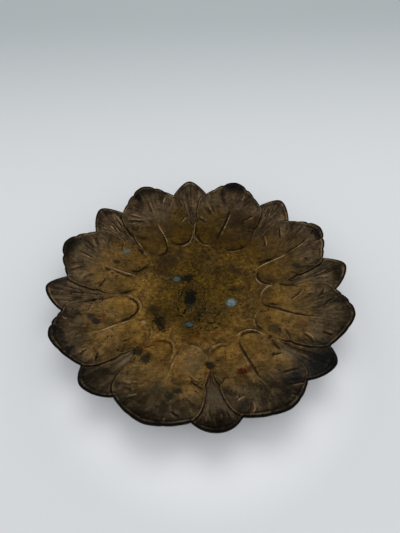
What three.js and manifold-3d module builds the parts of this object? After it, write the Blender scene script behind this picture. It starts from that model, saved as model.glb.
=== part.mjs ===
// A wide, shallow dish of cast brass. Eight lobed leaves lie over eight pointed leaves round a
// plain well, and the leaf tips curl up. It stands on a low turned foot ring, which three
// rivets hold under the well.
//
// Millimetres, +Z up. The table is z = 0, the axis of the dish is x = 0, y = 0, and one
// pointed leaf points along -Y. Leaves are counted anticlockwise from there, seen from above.

import * as THREE from 'three';
import { mergeVertices } from 'three/addons/utils/BufferGeometryUtils.js';
import Module from 'manifold-3d';

const { clamp, degToRad, lerp, smoothstep } = THREE.MathUtils;

// Bowl: radii from the axis, and heights of the upper face above the table. The tips reach
// out and rise from the circle of the notches.
const notchRadius = 114.7;
const notchHeight = 22.6;
const tipReach = 10.3;
const tipRise = 10.4;
const wellRadius = 52.5;
const wellEdgeHeight = 9.4;
const wellFloorHeight = 6.3;
const notchSlope = 0.24;

// Casting: thickness of the wall, of the leaf edge, and how far the edge rounds outwards
const wallThickness = 2.4;
const rimThickness = 2.6;
const rimRounding = 0.7;

// Leaves: counts, how far each leaf is turned from its even place in degrees, and how much
// further or less far than the others it reaches
const leafPairs = 8;
const pointedTurns = [0.5, 1, 1, -0.5, 0, 0, 0, -1];
const lobedTurns = [1, 0.5, -0.5, 0, 0, 0.5, -1, 0];
const pointedReaches = [-1, -1, 0.8, -0.8, -1.2, 0.2, 1, -0.6];
const lobedReaches = [-1.1, 0.7, 0.2, 0.4, 1, 0.5, 0.7, -1.2];

// Pointed leaf: half its angle at the notches, the narrow stem of it that shows further in,
// and where the lobed leaves close over it, as a share of the way out
const pointedHalfAngle = 8.8;
const stemHalfAngle = 2.3;
const pointedStart = 0.6;
const pointedWidening = 2.2;
const stemWidening = 0.6;

// Outline of the tips: a power near 1 makes a point and a higher one a rounder tip. The
// scallops of a lobed leaf lie at the creases, given as shares from its midrib to its margin.
const outlineStart = 0.7;
const pointedTipPower = 1.8;
const lobedTipPower = 1.5;
const creasePlaces = [0.4, 0.73];
const scallopDepths = [1.5, 0.9];
const scallopWidth = 0.14;

// Curl of the tips: where it starts, as a share of the way out, and how sharply it rises
const curlStart = 0.66;
const curlPower = 1.6;

// Relief of the upper face: the shallow scoop and the rounded end of each half of a lobed
// leaf, its midrib, the creases that run in from its scallops, and its raised margin
const lobeEndRadius = 54;
const lobeEndRound = 10;
const lobeEndFade = 30;
const lobeDepth = 0.9;
const lobeRunIn = 5;
const lobeBorder = 0.3;
const beadHeight = 0.5;
const beadWidth = 1.6;
const midribHeight = 0.8;
const midribWidth = 1.3;
const midribEnd = [0.84, 0.96];
const leafEdgeHeight = 0.4;
const leafEdgeWidth = 1.8;
const creaseDepth = 0.45;
const creaseWidth = 0.07;
const creaseStart = 0.78;

// Relief of a pointed leaf: the step down to it and the hollow between its margins
const leafStep = 1.3;
const leafStepRunIn = 0.08;
const pointedHollow = 0.7;

// Rim lip, and how much of the relief shows on the back
const lipHeight = 0.6;
const lipRunIn = [0.955, 0.99];
const backRelief = 0.6;

// Foot ring
const footRadius = 46;
const footLandWidth = 4;
const footCove = 1.6;
const footFlangeInnerRadius = 20;
const footFlangeThickness = 1.6;
const footEdgeRounding = 0.6;

// Rivets: the radius and the bearing of each, which were set out by eye, and their shape
const rivetPlaces = {
  rivet_left: { radius: 26.2, bearing: 138.7 },
  rivet_right: { radius: 28.8, bearing: -24.4 },
  rivet_front: { radius: 32.7, bearing: -111 },
};
const rivetShankRadius = 2.2;
const rivetHeadRadius = 3.6;
const rivetHeadDepth = 1.2;
const rivetHeadLand = 0.25;
const rivetCrown = 0.25;
const rivetTailRadius = 3.8;
const rivetTailHeight = 1.1;
const rivetFlat = 2.2;

// Fits
const seatClearance = 0.3;
const rivetClearance = 0.3;

// Facets
const columnsPerHalfPitch = 12;
const footSegments = 64;
const rivetSegments = 20;

const tipRadius = notchRadius + tipReach;
const tipHeight = notchHeight + tipRise;
const halfPitch = 360 / leafPairs / 2;
const columnCount = 2 * leafPairs * columnsPerHalfPitch;
const wellRise = wellEdgeHeight - wellFloorHeight;

// Height of the bowl without leaves: a well with a soft floor, then a flare that leaves the
// well at the well's own slope and arrives at the notches with the notch slope
function bowlHeight(radius) {
  if (radius <= wellRadius) {
    return wellFloorHeight + wellRise * (radius / wellRadius) ** 3;
  }
  if (radius >= notchRadius) {
    return notchHeight + notchSlope * (radius - notchRadius);
  }
  const span = notchRadius - wellRadius;
  const t = (radius - wellRadius) / span;
  const wellSlope = (3 * wellRise) / wellRadius;
  const rise = (3 - 2 * t) * t * t * (notchHeight - wellEdgeHeight);
  const leaving = t * (1 - t) * (1 - t) * span * wellSlope;
  const arriving = t * t * (1 - t) * span * notchSlope;
  return wellEdgeHeight + rise + leaving - arriving;
}

function bowlSlope(radius) {
  const step = 0.5;
  return (bowlHeight(radius + step) - bowlHeight(radius - step)) / (2 * step);
}

const curlHeight = tipHeight - bowlHeight(tipRadius) - lipHeight;

// A ridge with a rounded top, 1 at its crest and fading within about twice its width
function ridge(distance, width) {
  return Math.exp(-((distance / width) ** 2));
}

// Half the angle that a pointed leaf shows, as a share of the way out from axis to rim
function pointedAngle(share) {
  const t = clamp((share - pointedStart) / (1 - pointedStart), 0, 1);
  const stem = stemHalfAngle * Math.sin(Math.PI * t ** stemWidening);
  return pointedHalfAngle * t ** pointedWidening + stem;
}

// Where a point lies in the pattern of leaves. fromRib and fromPoint are angles from the
// midrib of the lobed leaf and from the pointed leaf's axis, and across runs from 0 at the
// midrib to 1 at the lobed leaf's margin. Past the margin, past runs from 0 on the pointed
// leaf's axis to 1 at the margin. The leaves are the numbers of the two that meet there.
function leafPlace(share, fromPoint, spread, leaves) {
  const fromRib = spread - fromPoint;
  const shown = pointedAngle(share);
  const onPointed = fromPoint < shown;
  return {
    leaves,
    fromRib,
    fromPoint,
    onPointed,
    across: onPointed ? 1 : fromRib / (spread - shown),
    past: onPointed ? fromPoint / shown : 1,
    notchAngle: spread - pointedHalfAngle,
  };
}

// Outline of the rim: tips of both kinds, and the scallops of the lobed leaves
function rimRadius(place) {
  const { pointed, lobed } = place.leaves;
  if (place.fromPoint < pointedHalfAngle) {
    const reach = tipReach + pointedReaches[pointed];
    return notchRadius + reach * (1 - (place.fromPoint / pointedHalfAngle) ** pointedTipPower);
  }
  const across = place.fromRib / place.notchAngle;
  const reach = tipReach + lobedReaches[lobed];
  let radius = notchRadius + reach * (1 - across ** lobedTipPower);
  creasePlaces.forEach((crease, i) => {
    const nearness = Math.max(0, 1 - Math.abs(across - crease) / scallopWidth);
    radius -= scallopDepths[i] * nearness * nearness;
  });
  return radius;
}

// Share of the curl that a bearing gets: all of it on a leaf's axis, none at a notch
function curlShare(place) {
  const onLobed = place.fromPoint > pointedHalfAngle;
  const across = onLobed ? place.fromRib / place.notchAngle : place.fromPoint / pointedHalfAngle;
  const arch = 1 - across * across;
  const wave = 0.5 + 0.5 * Math.cos(Math.PI * across);
  return 0.5 * arch + 0.5 * wave;
}

function leafForm(radius, share, place) {
  const t = clamp((share - curlStart) / (1 - curlStart), 0, 1);
  return bowlHeight(radius) + curlHeight * t ** curlPower * curlShare(place);
}

// Radius at which a half lobe ends, a rounded end between the midrib and the margin
function lobeEnd(across) {
  const side = 2 * across - 1;
  return lobeEndRadius + lobeEndRound * side * side;
}

function lobedRelief(radius, share, place) {
  const { across } = place;
  const end = lobeEnd(across);
  const inLobe = smoothstep(radius, end, end + lobeRunIn);
  const towardsRim = smoothstep(share, creaseStart, 1);
  const scoop = smoothstep(across, 0, lobeBorder) * smoothstep(1 - across, 0, lobeBorder);
  const ribDistance = radius * degToRad(place.fromRib);
  const edgeDistance = radius * degToRad(place.fromPoint - pointedAngle(share));
  const ribStart = smoothstep(radius, lobeEndRadius, lobeEndRadius + lobeEndRound);
  const ribFade = 1 - smoothstep(share, ...midribEnd);

  let height = -lobeDepth * inLobe * scoop * (1 - towardsRim);
  height += beadHeight * ridge(radius - end, beadWidth);
  height += midribHeight * ridge(ribDistance, midribWidth) * ribStart * ribFade;
  height += leafEdgeHeight * ridge(edgeDistance, leafEdgeWidth) * ribStart;
  for (const crease of creasePlaces) {
    height -= creaseDepth * ridge(across - crease, creaseWidth) * towardsRim;
  }
  return height;
}

function pointedRelief(share, place) {
  const under = smoothstep(share, pointedStart, pointedStart + leafStepRunIn);
  const hollow = Math.sin(Math.PI * place.past) ** 2;
  return -under * (leafStep + pointedHollow * hollow);
}

function relief(radius, share, place) {
  const lip = lipHeight * smoothstep(share, ...lipRunIn);
  const leaf = place.onPointed
    ? pointedRelief(share, place)
    : lobedRelief(radius, share, place);
  return leaf + lip;
}

// Angle from the pointed leaf's axis of one column of the skin. The fourth and fifth columns
// stand on either side of the lobed leaf's margin, and the others divide the leaves.
const pointedColumns = [0, 0.32, 0.7, 1];
const lobedColumns = [1, 0.87, creasePlaces[1], 0.62, 0.51, creasePlaces[0], 0.26, 0.1, 0];
const marginGap = 0.5;
const marginGather = [0.42, 0.66];

function columnAngle(column, share, spread) {
  const even = (pointedColumns.length / (columnsPerHalfPitch + 1)) * spread;
  const margin = lerp(even, pointedAngle(share), smoothstep(share, ...marginGather));
  if (column < pointedColumns.length) {
    return pointedColumns[column] * (margin - marginGap);
  }
  const across = lobedColumns[column - pointedColumns.length];
  return spread - across * (spread - margin - marginGap);
}

function axisBearing(axis) {
  const leaf = Math.floor(axis / 2) % leafPairs;
  const turn = axis % 2 === 0 ? pointedTurns[leaf] : lobedTurns[leaf];
  return -90 + axis * halfPitch + turn;
}

// Bearing of a column, its angles within its half pitch, and the leaves that meet there, at
// a share of the way out
function columnAt(index, share) {
  const half = Math.floor(index / columnsPerHalfPitch) % (2 * leafPairs);
  const step = index % columnsPerHalfPitch;
  const leaving = axisBearing(half);
  const arriving = half + 1 < 2 * leafPairs ? axisBearing(half + 1) : axisBearing(0) + 360;
  const spread = arriving - leaving;
  const leaves = { pointed: Math.ceil(half / 2) % leafPairs, lobed: Math.floor(half / 2) };
  if (half % 2 === 0) {
    const fromPoint = columnAngle(step, share, spread);
    return { bearing: leaving + fromPoint, fromPoint, spread, leaves };
  }
  const fromPoint = columnAngle(columnsPerHalfPitch - step, share, spread);
  return { bearing: arriving - fromPoint, fromPoint, spread, leaves };
}

// Radius of a ring at a column: the rings are round in the well, bend round the ends of the
// lobes, and take the outline of the leaves towards the rim
function ringRadius(share, place) {
  const even = share * tipRadius;
  const outline = share * rimRadius(place);
  const round = lerp(even, outline, smoothstep(share, outlineStart, 1));
  const bend = lobeEnd(place.fromRib / (place.fromRib + place.fromPoint)) - lobeEndRadius;
  const inwards = smoothstep(even, lobeEndRadius - lobeEndRound, lobeEndRadius);
  const outwards = 1 - smoothstep(even, lobeEndRadius, lobeEndRadius + lobeEndFade);
  return round + bend * Math.min(inwards, outwards);
}

// The skin, from the centre of the back round the rim to the centre of the upper face. Each
// ring has its share of the way out, and how much of the wall lies above it.
const backShares = [0, 0.2, 0.38, 0.52, 0.68, 0.84, 0.95];
const lobeEndShare = lobeEndRadius / tipRadius;
const faceShares = [
  1, 0.98, 0.95, 0.91, 0.865, 0.82, 0.775, 0.73, 0.69, 0.65, 0.61, 0.57, 0.53, 0.49,
  lobeEndShare + 0.025, lobeEndShare, lobeEndShare - 0.02, 0.34, 0.2, 0,
];
const skinRings = [
  ...backShares.map((share) => ({ share, back: true, swell: 0 })),
  { share: 1, back: true, swell: 0.5 * rimRounding },
  { share: 1, back: false, swell: rimRounding, drop: 0.5 * rimThickness },
  ...faceShares.map((share) => ({ share, back: false, swell: 0, drop: 0 })),
];

function skinPoint(ring, index) {
  const { bearing, fromPoint, spread, leaves } = columnAt(index, ring.share);
  const place = leafPlace(ring.share, fromPoint, spread, leaves);
  const radius = ringRadius(ring.share, place);
  const form = leafForm(radius, ring.share, place);
  const raised = relief(radius, ring.share, place);
  const thickness = lerp(wallThickness, rimThickness, smoothstep(ring.share, 0.9, 1));
  const face = form + raised;
  const height = ring.back ? form + backRelief * raised - thickness : face - ring.drop;
  const angle = degToRad(bearing);
  const reach = radius + ring.swell;
  return new THREE.Vector3(reach * Math.cos(angle), reach * Math.sin(angle), height);
}

const wasm = await Module();
wasm.setup();

// Merges the vertices that a revolve repeats on its axis and seam, and drops the triangles
// that this leaves without area
function closedGeometry(geometry) {
  const bare = geometry.clone();
  bare.deleteAttribute('normal');
  bare.deleteAttribute('uv');
  const merged = mergeVertices(bare, 1e-4);
  const corners = merged.index.array;
  const kept = [];
  for (let i = 0; i < corners.length; i += 3) {
    const [a, b, c] = [corners[i], corners[i + 1], corners[i + 2]];
    if (a !== b && b !== c && c !== a) kept.push(a, b, c);
  }
  merged.setIndex(kept);
  return merged;
}

function toSolid(geometry) {
  const closed = closedGeometry(geometry);
  return new wasm.Manifold(
    new wasm.Mesh({
      numProp: 3,
      vertProperties: new Float32Array(closed.attributes.position.array),
      triVerts: new Uint32Array(closed.index.array),
    }),
  );
}

function toGeometry(solid) {
  const { vertProperties, triVerts } = solid.getMesh();
  const geometry = new THREE.BufferGeometry();
  geometry.setAttribute('position', new THREE.Float32BufferAttribute(vertProperties, 3));
  geometry.setIndex(Array.from(triVerts));
  geometry.computeVertexNormals();
  return geometry;
}

// A solid revolved about +Z from a profile of [radius, height] pairs
function revolve(profile, segments) {
  const points = profile.map(([radius, height]) => new THREE.Vector2(radius, height));
  return new THREE.LatheGeometry(points, segments).rotateX(Math.PI / 2);
}

// The dish is a revolved skin whose points are then moved onto the leaves
function dishSkin() {
  const profile = skinRings.map((ring) => [ring.share * tipRadius, 0]);
  const geometry = revolve(profile, columnCount);
  const position = geometry.attributes.position;
  for (let column = 0; column <= columnCount; column += 1) {
    for (let ring = 0; ring < skinRings.length; ring += 1) {
      const point = skinPoint(skinRings[ring], column % columnCount);
      position.setXYZ(column * skinRings.length + ring, point.x, point.y, point.z);
    }
  }
  return geometry;
}

// Rivet, along its own axis: its head fills a countersink in the well, z = 0 is the floor
// of the well there, and its tail closes under the flange. A seat is the same shape, wider
// by the clearance and open at both ends.
const rivetGrip = wallThickness + seatClearance + footFlangeThickness + rivetClearance;

function rivetProfile() {
  const tail = -rivetGrip - rivetTailHeight;
  return [
    [0, tail],
    [rivetFlat, tail],
    [rivetTailRadius, -rivetGrip - 0.5 * rivetTailHeight],
    [rivetTailRadius, -rivetGrip],
    [rivetShankRadius, -rivetGrip],
    [rivetShankRadius, -rivetHeadDepth],
    [rivetHeadRadius, -rivetHeadLand],
    [rivetHeadRadius, 0],
    [rivetFlat, rivetCrown],
    [0, rivetCrown],
  ];
}

function seatProfile() {
  const above = wallThickness;
  return [
    [0, -rivetGrip - above],
    [rivetShankRadius + rivetClearance, -rivetGrip - above],
    [rivetShankRadius + rivetClearance, -rivetHeadDepth - rivetClearance],
    [rivetHeadRadius + rivetClearance, -rivetHeadLand - rivetClearance],
    [rivetHeadRadius + rivetClearance, above],
    [0, above],
  ];
}

// Stands a piece on the floor of the well at a rivet's place, square to the floor there
function placeRivet(object, { radius, bearing }) {
  const angle = degToRad(bearing);
  const tilt = Math.atan(bowlSlope(radius));
  object.position.set(radius * Math.cos(angle), radius * Math.sin(angle), bowlHeight(radius));
  object.rotation.set(0, -tilt, angle, 'ZYX');
  object.updateMatrix();
  return object;
}

function rivetSeats() {
  return Object.values(rivetPlaces).map((place) => {
    const seat = placeRivet(new THREE.Object3D(), place);
    return toSolid(revolve(seatProfile(), rivetSegments).applyMatrix4(seat.matrix));
  });
}

function withSeats(geometry) {
  let solid = toSolid(geometry);
  for (const seat of rivetSeats()) solid = solid.subtract(seat);
  return toGeometry(solid);
}

// Foot ring: its top follows the back of the well, its flange reaches inwards under the
// rivets, and its outside draws in by a cove above the land that meets the table
const coveSteps = 3;
const seatSteps = 4;
const underSteps = 3;

function footProfile() {
  const seat = (radius) => bowlHeight(radius) - wallThickness - seatClearance;
  const flangeUnder = (radius) => seat(radius) - footFlangeThickness;
  const landInner = footRadius - footLandWidth;
  const seatOuter = footRadius - footCove;
  const flangeOuter = landInner - footFlangeThickness;
  const profile = [
    [landInner, 0],
    [footRadius - footEdgeRounding, 0],
    [footRadius, footEdgeRounding],
  ];
  for (let i = 1; i <= coveSteps; i += 1) {
    const turn = (i / coveSteps) * (Math.PI / 2);
    const rise = lerp(footEdgeRounding, seat(seatOuter), 1 - Math.cos(turn));
    profile.push([footRadius - footCove * Math.sin(turn), rise]);
  }
  for (let i = 1; i <= seatSteps; i += 1) {
    const radius = lerp(seatOuter, footFlangeInnerRadius, i / seatSteps);
    profile.push([radius, seat(radius)]);
  }
  for (let i = 0; i <= underSteps; i += 1) {
    const radius = lerp(footFlangeInnerRadius, flangeOuter, i / underSteps);
    profile.push([radius, flangeUnder(radius)]);
  }
  profile.push([landInner, flangeUnder(landInner) - footFlangeThickness]);
  profile.push([landInner, 0]);
  return profile;
}

const castBrass = new THREE.MeshStandardMaterial({
  color: 0x59452a,
  roughness: 0.5,
  metalness: 0.85,
});
const turnedBrass = new THREE.MeshStandardMaterial({
  color: 0x6b5528,
  roughness: 0.45,
  metalness: 0.9,
});
const corrodedBrass = new THREE.MeshStandardMaterial({
  color: 0x6e8478,
  roughness: 0.85,
  metalness: 0.2,
});

function piece(name, geometry, material) {
  const mesh = new THREE.Mesh(geometry, material);
  mesh.name = name;
  return mesh;
}

const leafDish = new THREE.Group();
leafDish.add(piece('dish', withSeats(dishSkin()), castBrass));
leafDish.add(piece('foot_ring', withSeats(revolve(footProfile(), footSegments)), turnedBrass));
for (const [name, place] of Object.entries(rivetPlaces)) {
  const rivet = closedGeometry(revolve(rivetProfile(), rivetSegments));
  leafDish.add(placeRivet(piece(name, rivet, corrodedBrass), place));
}

export default leafDish;
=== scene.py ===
import logging
import math
from dataclasses import dataclass, field
from enum import Enum

import bpy
import numpy as np
from mathutils import Matrix, Vector, noise


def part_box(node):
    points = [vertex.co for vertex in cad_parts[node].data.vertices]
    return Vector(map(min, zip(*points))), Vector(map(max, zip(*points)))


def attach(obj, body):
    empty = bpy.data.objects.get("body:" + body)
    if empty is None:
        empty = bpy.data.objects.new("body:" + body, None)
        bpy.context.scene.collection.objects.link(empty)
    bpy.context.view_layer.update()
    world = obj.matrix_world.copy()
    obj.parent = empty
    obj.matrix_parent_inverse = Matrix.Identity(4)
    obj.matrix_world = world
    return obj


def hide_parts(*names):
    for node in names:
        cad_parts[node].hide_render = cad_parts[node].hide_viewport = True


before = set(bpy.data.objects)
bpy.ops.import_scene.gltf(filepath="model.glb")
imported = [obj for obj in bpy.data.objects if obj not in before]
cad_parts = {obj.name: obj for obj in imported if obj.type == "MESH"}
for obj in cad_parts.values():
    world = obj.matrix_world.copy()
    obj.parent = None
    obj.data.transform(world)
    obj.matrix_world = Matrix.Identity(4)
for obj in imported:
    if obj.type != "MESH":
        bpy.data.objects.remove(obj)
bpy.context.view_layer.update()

# Everything about the dish is set out in millimetres and degrees, as a founder would, and
# turned into metres where a mesh or a material takes it.
MM = 0.001

# Places on a leaf are given in hundredths of this radius, across the leaf and outwards.
PLAN_RADIUS = 125.0
HUNDREDTH = PLAN_RADIUS / 100.0

log = logging.getLogger("leaf_dish")

Array = np.ndarray
Point = tuple[float, float]
Triple = tuple[float, float, float]
Seen = tuple[int, int, int]
Linear = tuple[float, float, float, float]
Socket = bpy.types.NodeSocket
Fed = Socket | float | tuple[float, ...]


def lerp(low: float | Array, high: float | Array, share: float | Array) -> float | Array:
    """Goes from low to high as share goes from 0 to 1."""
    return low + (high - low) * share


def smoothstep(value: float | Array, low: float, high: float) -> float | Array:
    """Rises softly from 0 at low to 1 at high."""
    t = np.clip((value - low) / (high - low), 0.0, 1.0)
    return t * t * (3.0 - 2.0 * t)


def ridge(distance: float | Array, width: float) -> float | Array:
    """A rounded crest, 1 at its top, that fades within about twice its width."""
    return np.exp(-((distance / width) ** 2))


def shade(red: int, green: int, blue: int) -> Linear:
    """Turns a colour as seen on a screen, 0 to 255, into the linear one a shader takes.

    Args:
        red: Red as seen.
        green: Green as seen.
        blue: Blue as seen.

    Returns:
        The linear colour with full alpha.
    """
    def linear(value: int) -> float:
        """Undoes the screen's curve for one channel."""
        part = value / 255.0
        return part / 12.92 if part <= 0.04045 else ((part + 0.055) / 1.055) ** 2.4

    return (linear(red), linear(green), linear(blue), 1.0)


# The plan of the dish


@dataclass
class LeafPlace:
    """Where points lie in the pattern of leaves, one value of each kind for every point.

    The angles from_rib and from_point run from the midrib of the lobed leaf and from the
    axis of the pointed leaf. Across runs from 0 at the midrib to 1 at the lobed leaf's
    margin, and past from 0 on the pointed leaf's axis to 1 at the margin.
    """

    share: Array
    bearing: Array
    from_point: Array
    from_rib: Array
    shown: Array
    notch_angle: Array
    pointed: Array
    lobed: Array
    on_pointed: Array
    across: Array
    past: Array


@dataclass(frozen=True)
class LeafPattern:
    """Plan and section of the bowl and its leaves, as the solid has them."""

    notch_radius: float = 114.7
    notch_height: float = 22.6
    tip_reach: float = 10.3
    tip_rise: float = 10.4
    well_radius: float = 52.5
    well_edge_height: float = 9.4
    well_floor_height: float = 6.3
    notch_slope: float = 0.24
    leaf_pairs: int = 8
    pointed_turns: tuple[float, ...] = (0.5, 1, 1, -0.5, 0, 0, 0, -1)
    lobed_turns: tuple[float, ...] = (1, 0.5, -0.5, 0, 0, 0.5, -1, 0)
    pointed_reaches: tuple[float, ...] = (-1, -1, 0.8, -0.8, -1.2, 0.2, 1, -0.6)
    lobed_reaches: tuple[float, ...] = (-1.1, 0.7, 0.2, 0.4, 1, 0.5, 0.7, -1.2)
    pointed_half_angle: float = 8.8
    stem_half_angle: float = 2.3
    pointed_start: float = 0.6
    pointed_widening: float = 2.2
    stem_widening: float = 0.6
    side_notch: float = 0.9
    side_notch_share: float = 0.7
    side_notch_width: float = 0.02
    margin_gap: float = 0.12
    gathering: Point = (0.42, 0.66)
    outline_start: float = 0.7
    pointed_tip_power: float = 1.8
    lobed_tip_power: float = 1.5
    crease_places: tuple[float, ...] = (0.4, 0.73)
    scallop_depths: tuple[float, ...] = (1.5, 0.9)
    scallop_width: float = 0.14
    curl_start: float = 0.66
    curl_power: float = 1.6
    scallop_worn: float = 0.2
    scallop_worn_from: Point = (-0.5, -0.2)
    lip_height: float = 0.45
    lobe_end_radius: float = 54.0
    lobe_end_round: float = 10.0
    lobe_end_fade: float = 30.0

    @property
    def tip_radius(self) -> float:
        """Radius of the circle of an even leaf's tip."""
        return self.notch_radius + self.tip_reach

    @property
    def tip_height(self) -> float:
        """Height of an even leaf's tip."""
        return self.notch_height + self.tip_rise

    def bowl_height(self, radius: Array) -> Array:
        """Gives the upper face without leaves: a soft well, then a flare to the notches.

        Args:
            radius: Distances from the axis of the dish.

        Returns:
            Heights above the table.
        """
        well_rise = self.well_edge_height - self.well_floor_height
        well = self.well_floor_height + well_rise * (radius / self.well_radius) ** 3
        brim = self.notch_height + self.notch_slope * (radius - self.notch_radius)
        span = self.notch_radius - self.well_radius
        t = np.clip((radius - self.well_radius) / span, 0.0, 1.0)
        rise = (3.0 - 2.0 * t) * t * t * (self.notch_height - self.well_edge_height)
        leaving = t * (1.0 - t) ** 2 * span * 3.0 * well_rise / self.well_radius
        arriving = t * t * (1.0 - t) * span * self.notch_slope
        flare = self.well_edge_height + rise + leaving - arriving
        inside = np.where(radius <= self.well_radius, well, flare)
        return np.where(radius >= self.notch_radius, brim, inside)

    def pointed_angle(self, share: Array) -> Array:
        """Gives half the angle that a pointed leaf shows between the lobed ones.

        Args:
            share: Share of the way out from the axis to the rim.

        Returns:
            Half angles, wider at the small notch in the lobed leaf's side.
        """
        t = np.clip((share - self.pointed_start) / (1.0 - self.pointed_start), 0.0, 1.0)
        stem = self.stem_half_angle * np.sin(math.pi * t ** self.stem_widening)
        notch = self.side_notch * ridge(share - self.side_notch_share, self.side_notch_width)
        return self.pointed_half_angle * t ** self.pointed_widening + stem + notch

    def axis_bearing(self, axis: Array) -> Array:
        """Gives the bearing of a leaf's axis.

        Args:
            axis: Numbers of the axes, anticlockwise from the front, even on pointed leaves.

        Returns:
            Their bearings in degrees.
        """
        even = np.asarray(axis) % (2 * self.leaf_pairs)
        leaf = even // 2
        turns = np.where(
            even % 2 == 0, np.take(self.pointed_turns, leaf), np.take(self.lobed_turns, leaf)
        )
        return -90.0 + np.asarray(axis) * 180.0 / self.leaf_pairs + turns

    def rim_radius(self, place: LeafPlace) -> Array:
        """Gives the outline: tips of both kinds, and the scallops of the lobed leaves.

        Args:
            place: Where the points lie in the pattern.

        Returns:
            Radii of the rim at their bearings.
        """
        on_tip = place.from_point < self.pointed_half_angle
        pointed_reach = self.tip_reach + np.take(self.pointed_reaches, place.pointed)
        lobed_reach = self.tip_reach + np.take(self.lobed_reaches, place.lobed)
        aside = np.clip(place.from_point / self.pointed_half_angle, 0.0, 1.0)
        across = np.clip(place.from_rib / place.notch_angle, 0.0, 1.0)
        pointed = self.notch_radius + pointed_reach * (1.0 - aside ** self.pointed_tip_power)
        lobed = self.notch_radius + lobed_reach * (1.0 - across ** self.lobed_tip_power)
        backwards = smoothstep(np.sin(np.radians(place.bearing)), *self.scallop_worn_from)
        kept = lerp(self.scallop_worn, 1.0, backwards)
        for crease, depth in zip(self.crease_places, self.scallop_depths):
            nearness = np.clip(1.0 - np.abs(across - crease) / self.scallop_width, 0.0, 1.0)
            lobed = lobed - kept * depth * nearness ** 2
        return np.where(on_tip, pointed, lobed)

    def curl_share(self, place: LeafPlace) -> Array:
        """Gives how much of the curl a bearing gets.

        Args:
            place: Where the points lie in the pattern.

        Returns:
            Shares, from 1 on a leaf's axis to 0 at a notch.
        """
        on_lobed = place.from_point > self.pointed_half_angle
        across = np.where(
            on_lobed, place.from_rib / place.notch_angle, place.from_point / self.pointed_half_angle
        )
        arch = 1.0 - across ** 2
        wave = 0.5 + 0.5 * np.cos(math.pi * across)
        return 0.5 * arch + 0.5 * wave

    def form(self, radius: Array, place: LeafPlace) -> Array:
        """Gives the upper face with its curled leaves but without their relief.

        Args:
            radius: Distances from the axis.
            place: Where the points lie in the pattern.

        Returns:
            Heights above the table.
        """
        tip = float(self.bowl_height(np.float64(self.tip_radius)))
        curl = self.tip_height - tip - self.lip_height
        t = np.clip((place.share - self.curl_start) / (1.0 - self.curl_start), 0.0, 1.0)
        return self.bowl_height(radius) + curl * t ** self.curl_power * self.curl_share(place)

    def lobe_end(self, across: Array) -> Array:
        """Gives the radius at which a half lobe ends, round between midrib and margin."""
        return self.lobe_end_radius + self.lobe_end_round * (2.0 * across - 1.0) ** 2

    def ring_radius(self, place: LeafPlace) -> Array:
        """Gives the radius of a ring: round in the well, and leaf shaped at the rim.

        Args:
            place: Where the points lie in the pattern.

        Returns:
            Distances from the axis.
        """
        even = place.share * self.tip_radius
        outline = place.share * self.rim_radius(place)
        shaped = lerp(even, outline, smoothstep(place.share, self.outline_start, 1.0))
        across = place.from_rib / (place.from_rib + place.from_point)
        bend = self.lobe_end(across) - self.lobe_end_radius
        low = self.lobe_end_radius - self.lobe_end_round
        inwards = smoothstep(even, low, self.lobe_end_radius)
        high = self.lobe_end_radius + self.lobe_end_fade
        outwards = 1.0 - smoothstep(even, self.lobe_end_radius, high)
        return shaped + bend * np.minimum(inwards, outwards)

    def places(self, shares: Array, per_half: int, on_point: int) -> LeafPlace:
        """Lays columns over the leaves, on both sides of every margin, at each share.

        Args:
            shares: Shares of the way out, one for each ring.
            per_half: Columns in half a pitch.
            on_point: How many of these lie on the pointed leaf.

        Returns:
            The places, with rings down and columns across.
        """
        columns = np.arange(2 * self.leaf_pairs * per_half + 1)
        half = np.minimum(columns // per_half, 2 * self.leaf_pairs - 1)
        step = columns - half * per_half
        leaving = self.axis_bearing(half)
        arriving = self.axis_bearing(half + 1)
        spread = (arriving - leaving)[None, :]
        from_axis = np.where(half % 2 == 0, step, per_half - step)[None, :]
        share = shares[:, None]
        even = on_point / (per_half + 1) * spread
        gathered = smoothstep(share, *self.gathering)
        shown = self.pointed_angle(share) + 0.0 * spread
        margin = lerp(even, shown, gathered)
        inner = from_axis / (on_point - 1) * (margin - self.margin_gap)
        left_over = (per_half - from_axis) / (per_half - on_point)
        outer = spread - left_over * (spread - margin - self.margin_gap)
        from_point = np.where(from_axis < on_point, inner, outer)
        forward = (half % 2 == 0)[None, :]
        bearing = np.where(forward, leaving + from_point, arriving - from_point)
        from_rib = spread - from_point
        on_pointed = from_point < shown
        return LeafPlace(
            share=share + 0.0 * spread,
            bearing=bearing,
            from_point=from_point,
            from_rib=from_rib,
            shown=shown,
            notch_angle=spread - self.pointed_half_angle + 0.0 * share,
            pointed=((half + 1) // 2 % self.leaf_pairs)[None, :] + np.zeros_like(share, int),
            lobed=(half // 2)[None, :] + np.zeros_like(share, int),
            on_pointed=on_pointed,
            across=np.where(on_pointed, 1.0, from_rib / np.maximum(spread - shown, 1e-6)),
            past=np.where(on_pointed, from_point / np.maximum(shown, 1e-6), 1.0),
        )


# The relief of the leaves


# The distance of points that no thin line is near, and where a line's mask fades out.
FAR = 9.0
LINE_FADE = (1.3, 2.3)
FAINT = 0.05


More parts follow.
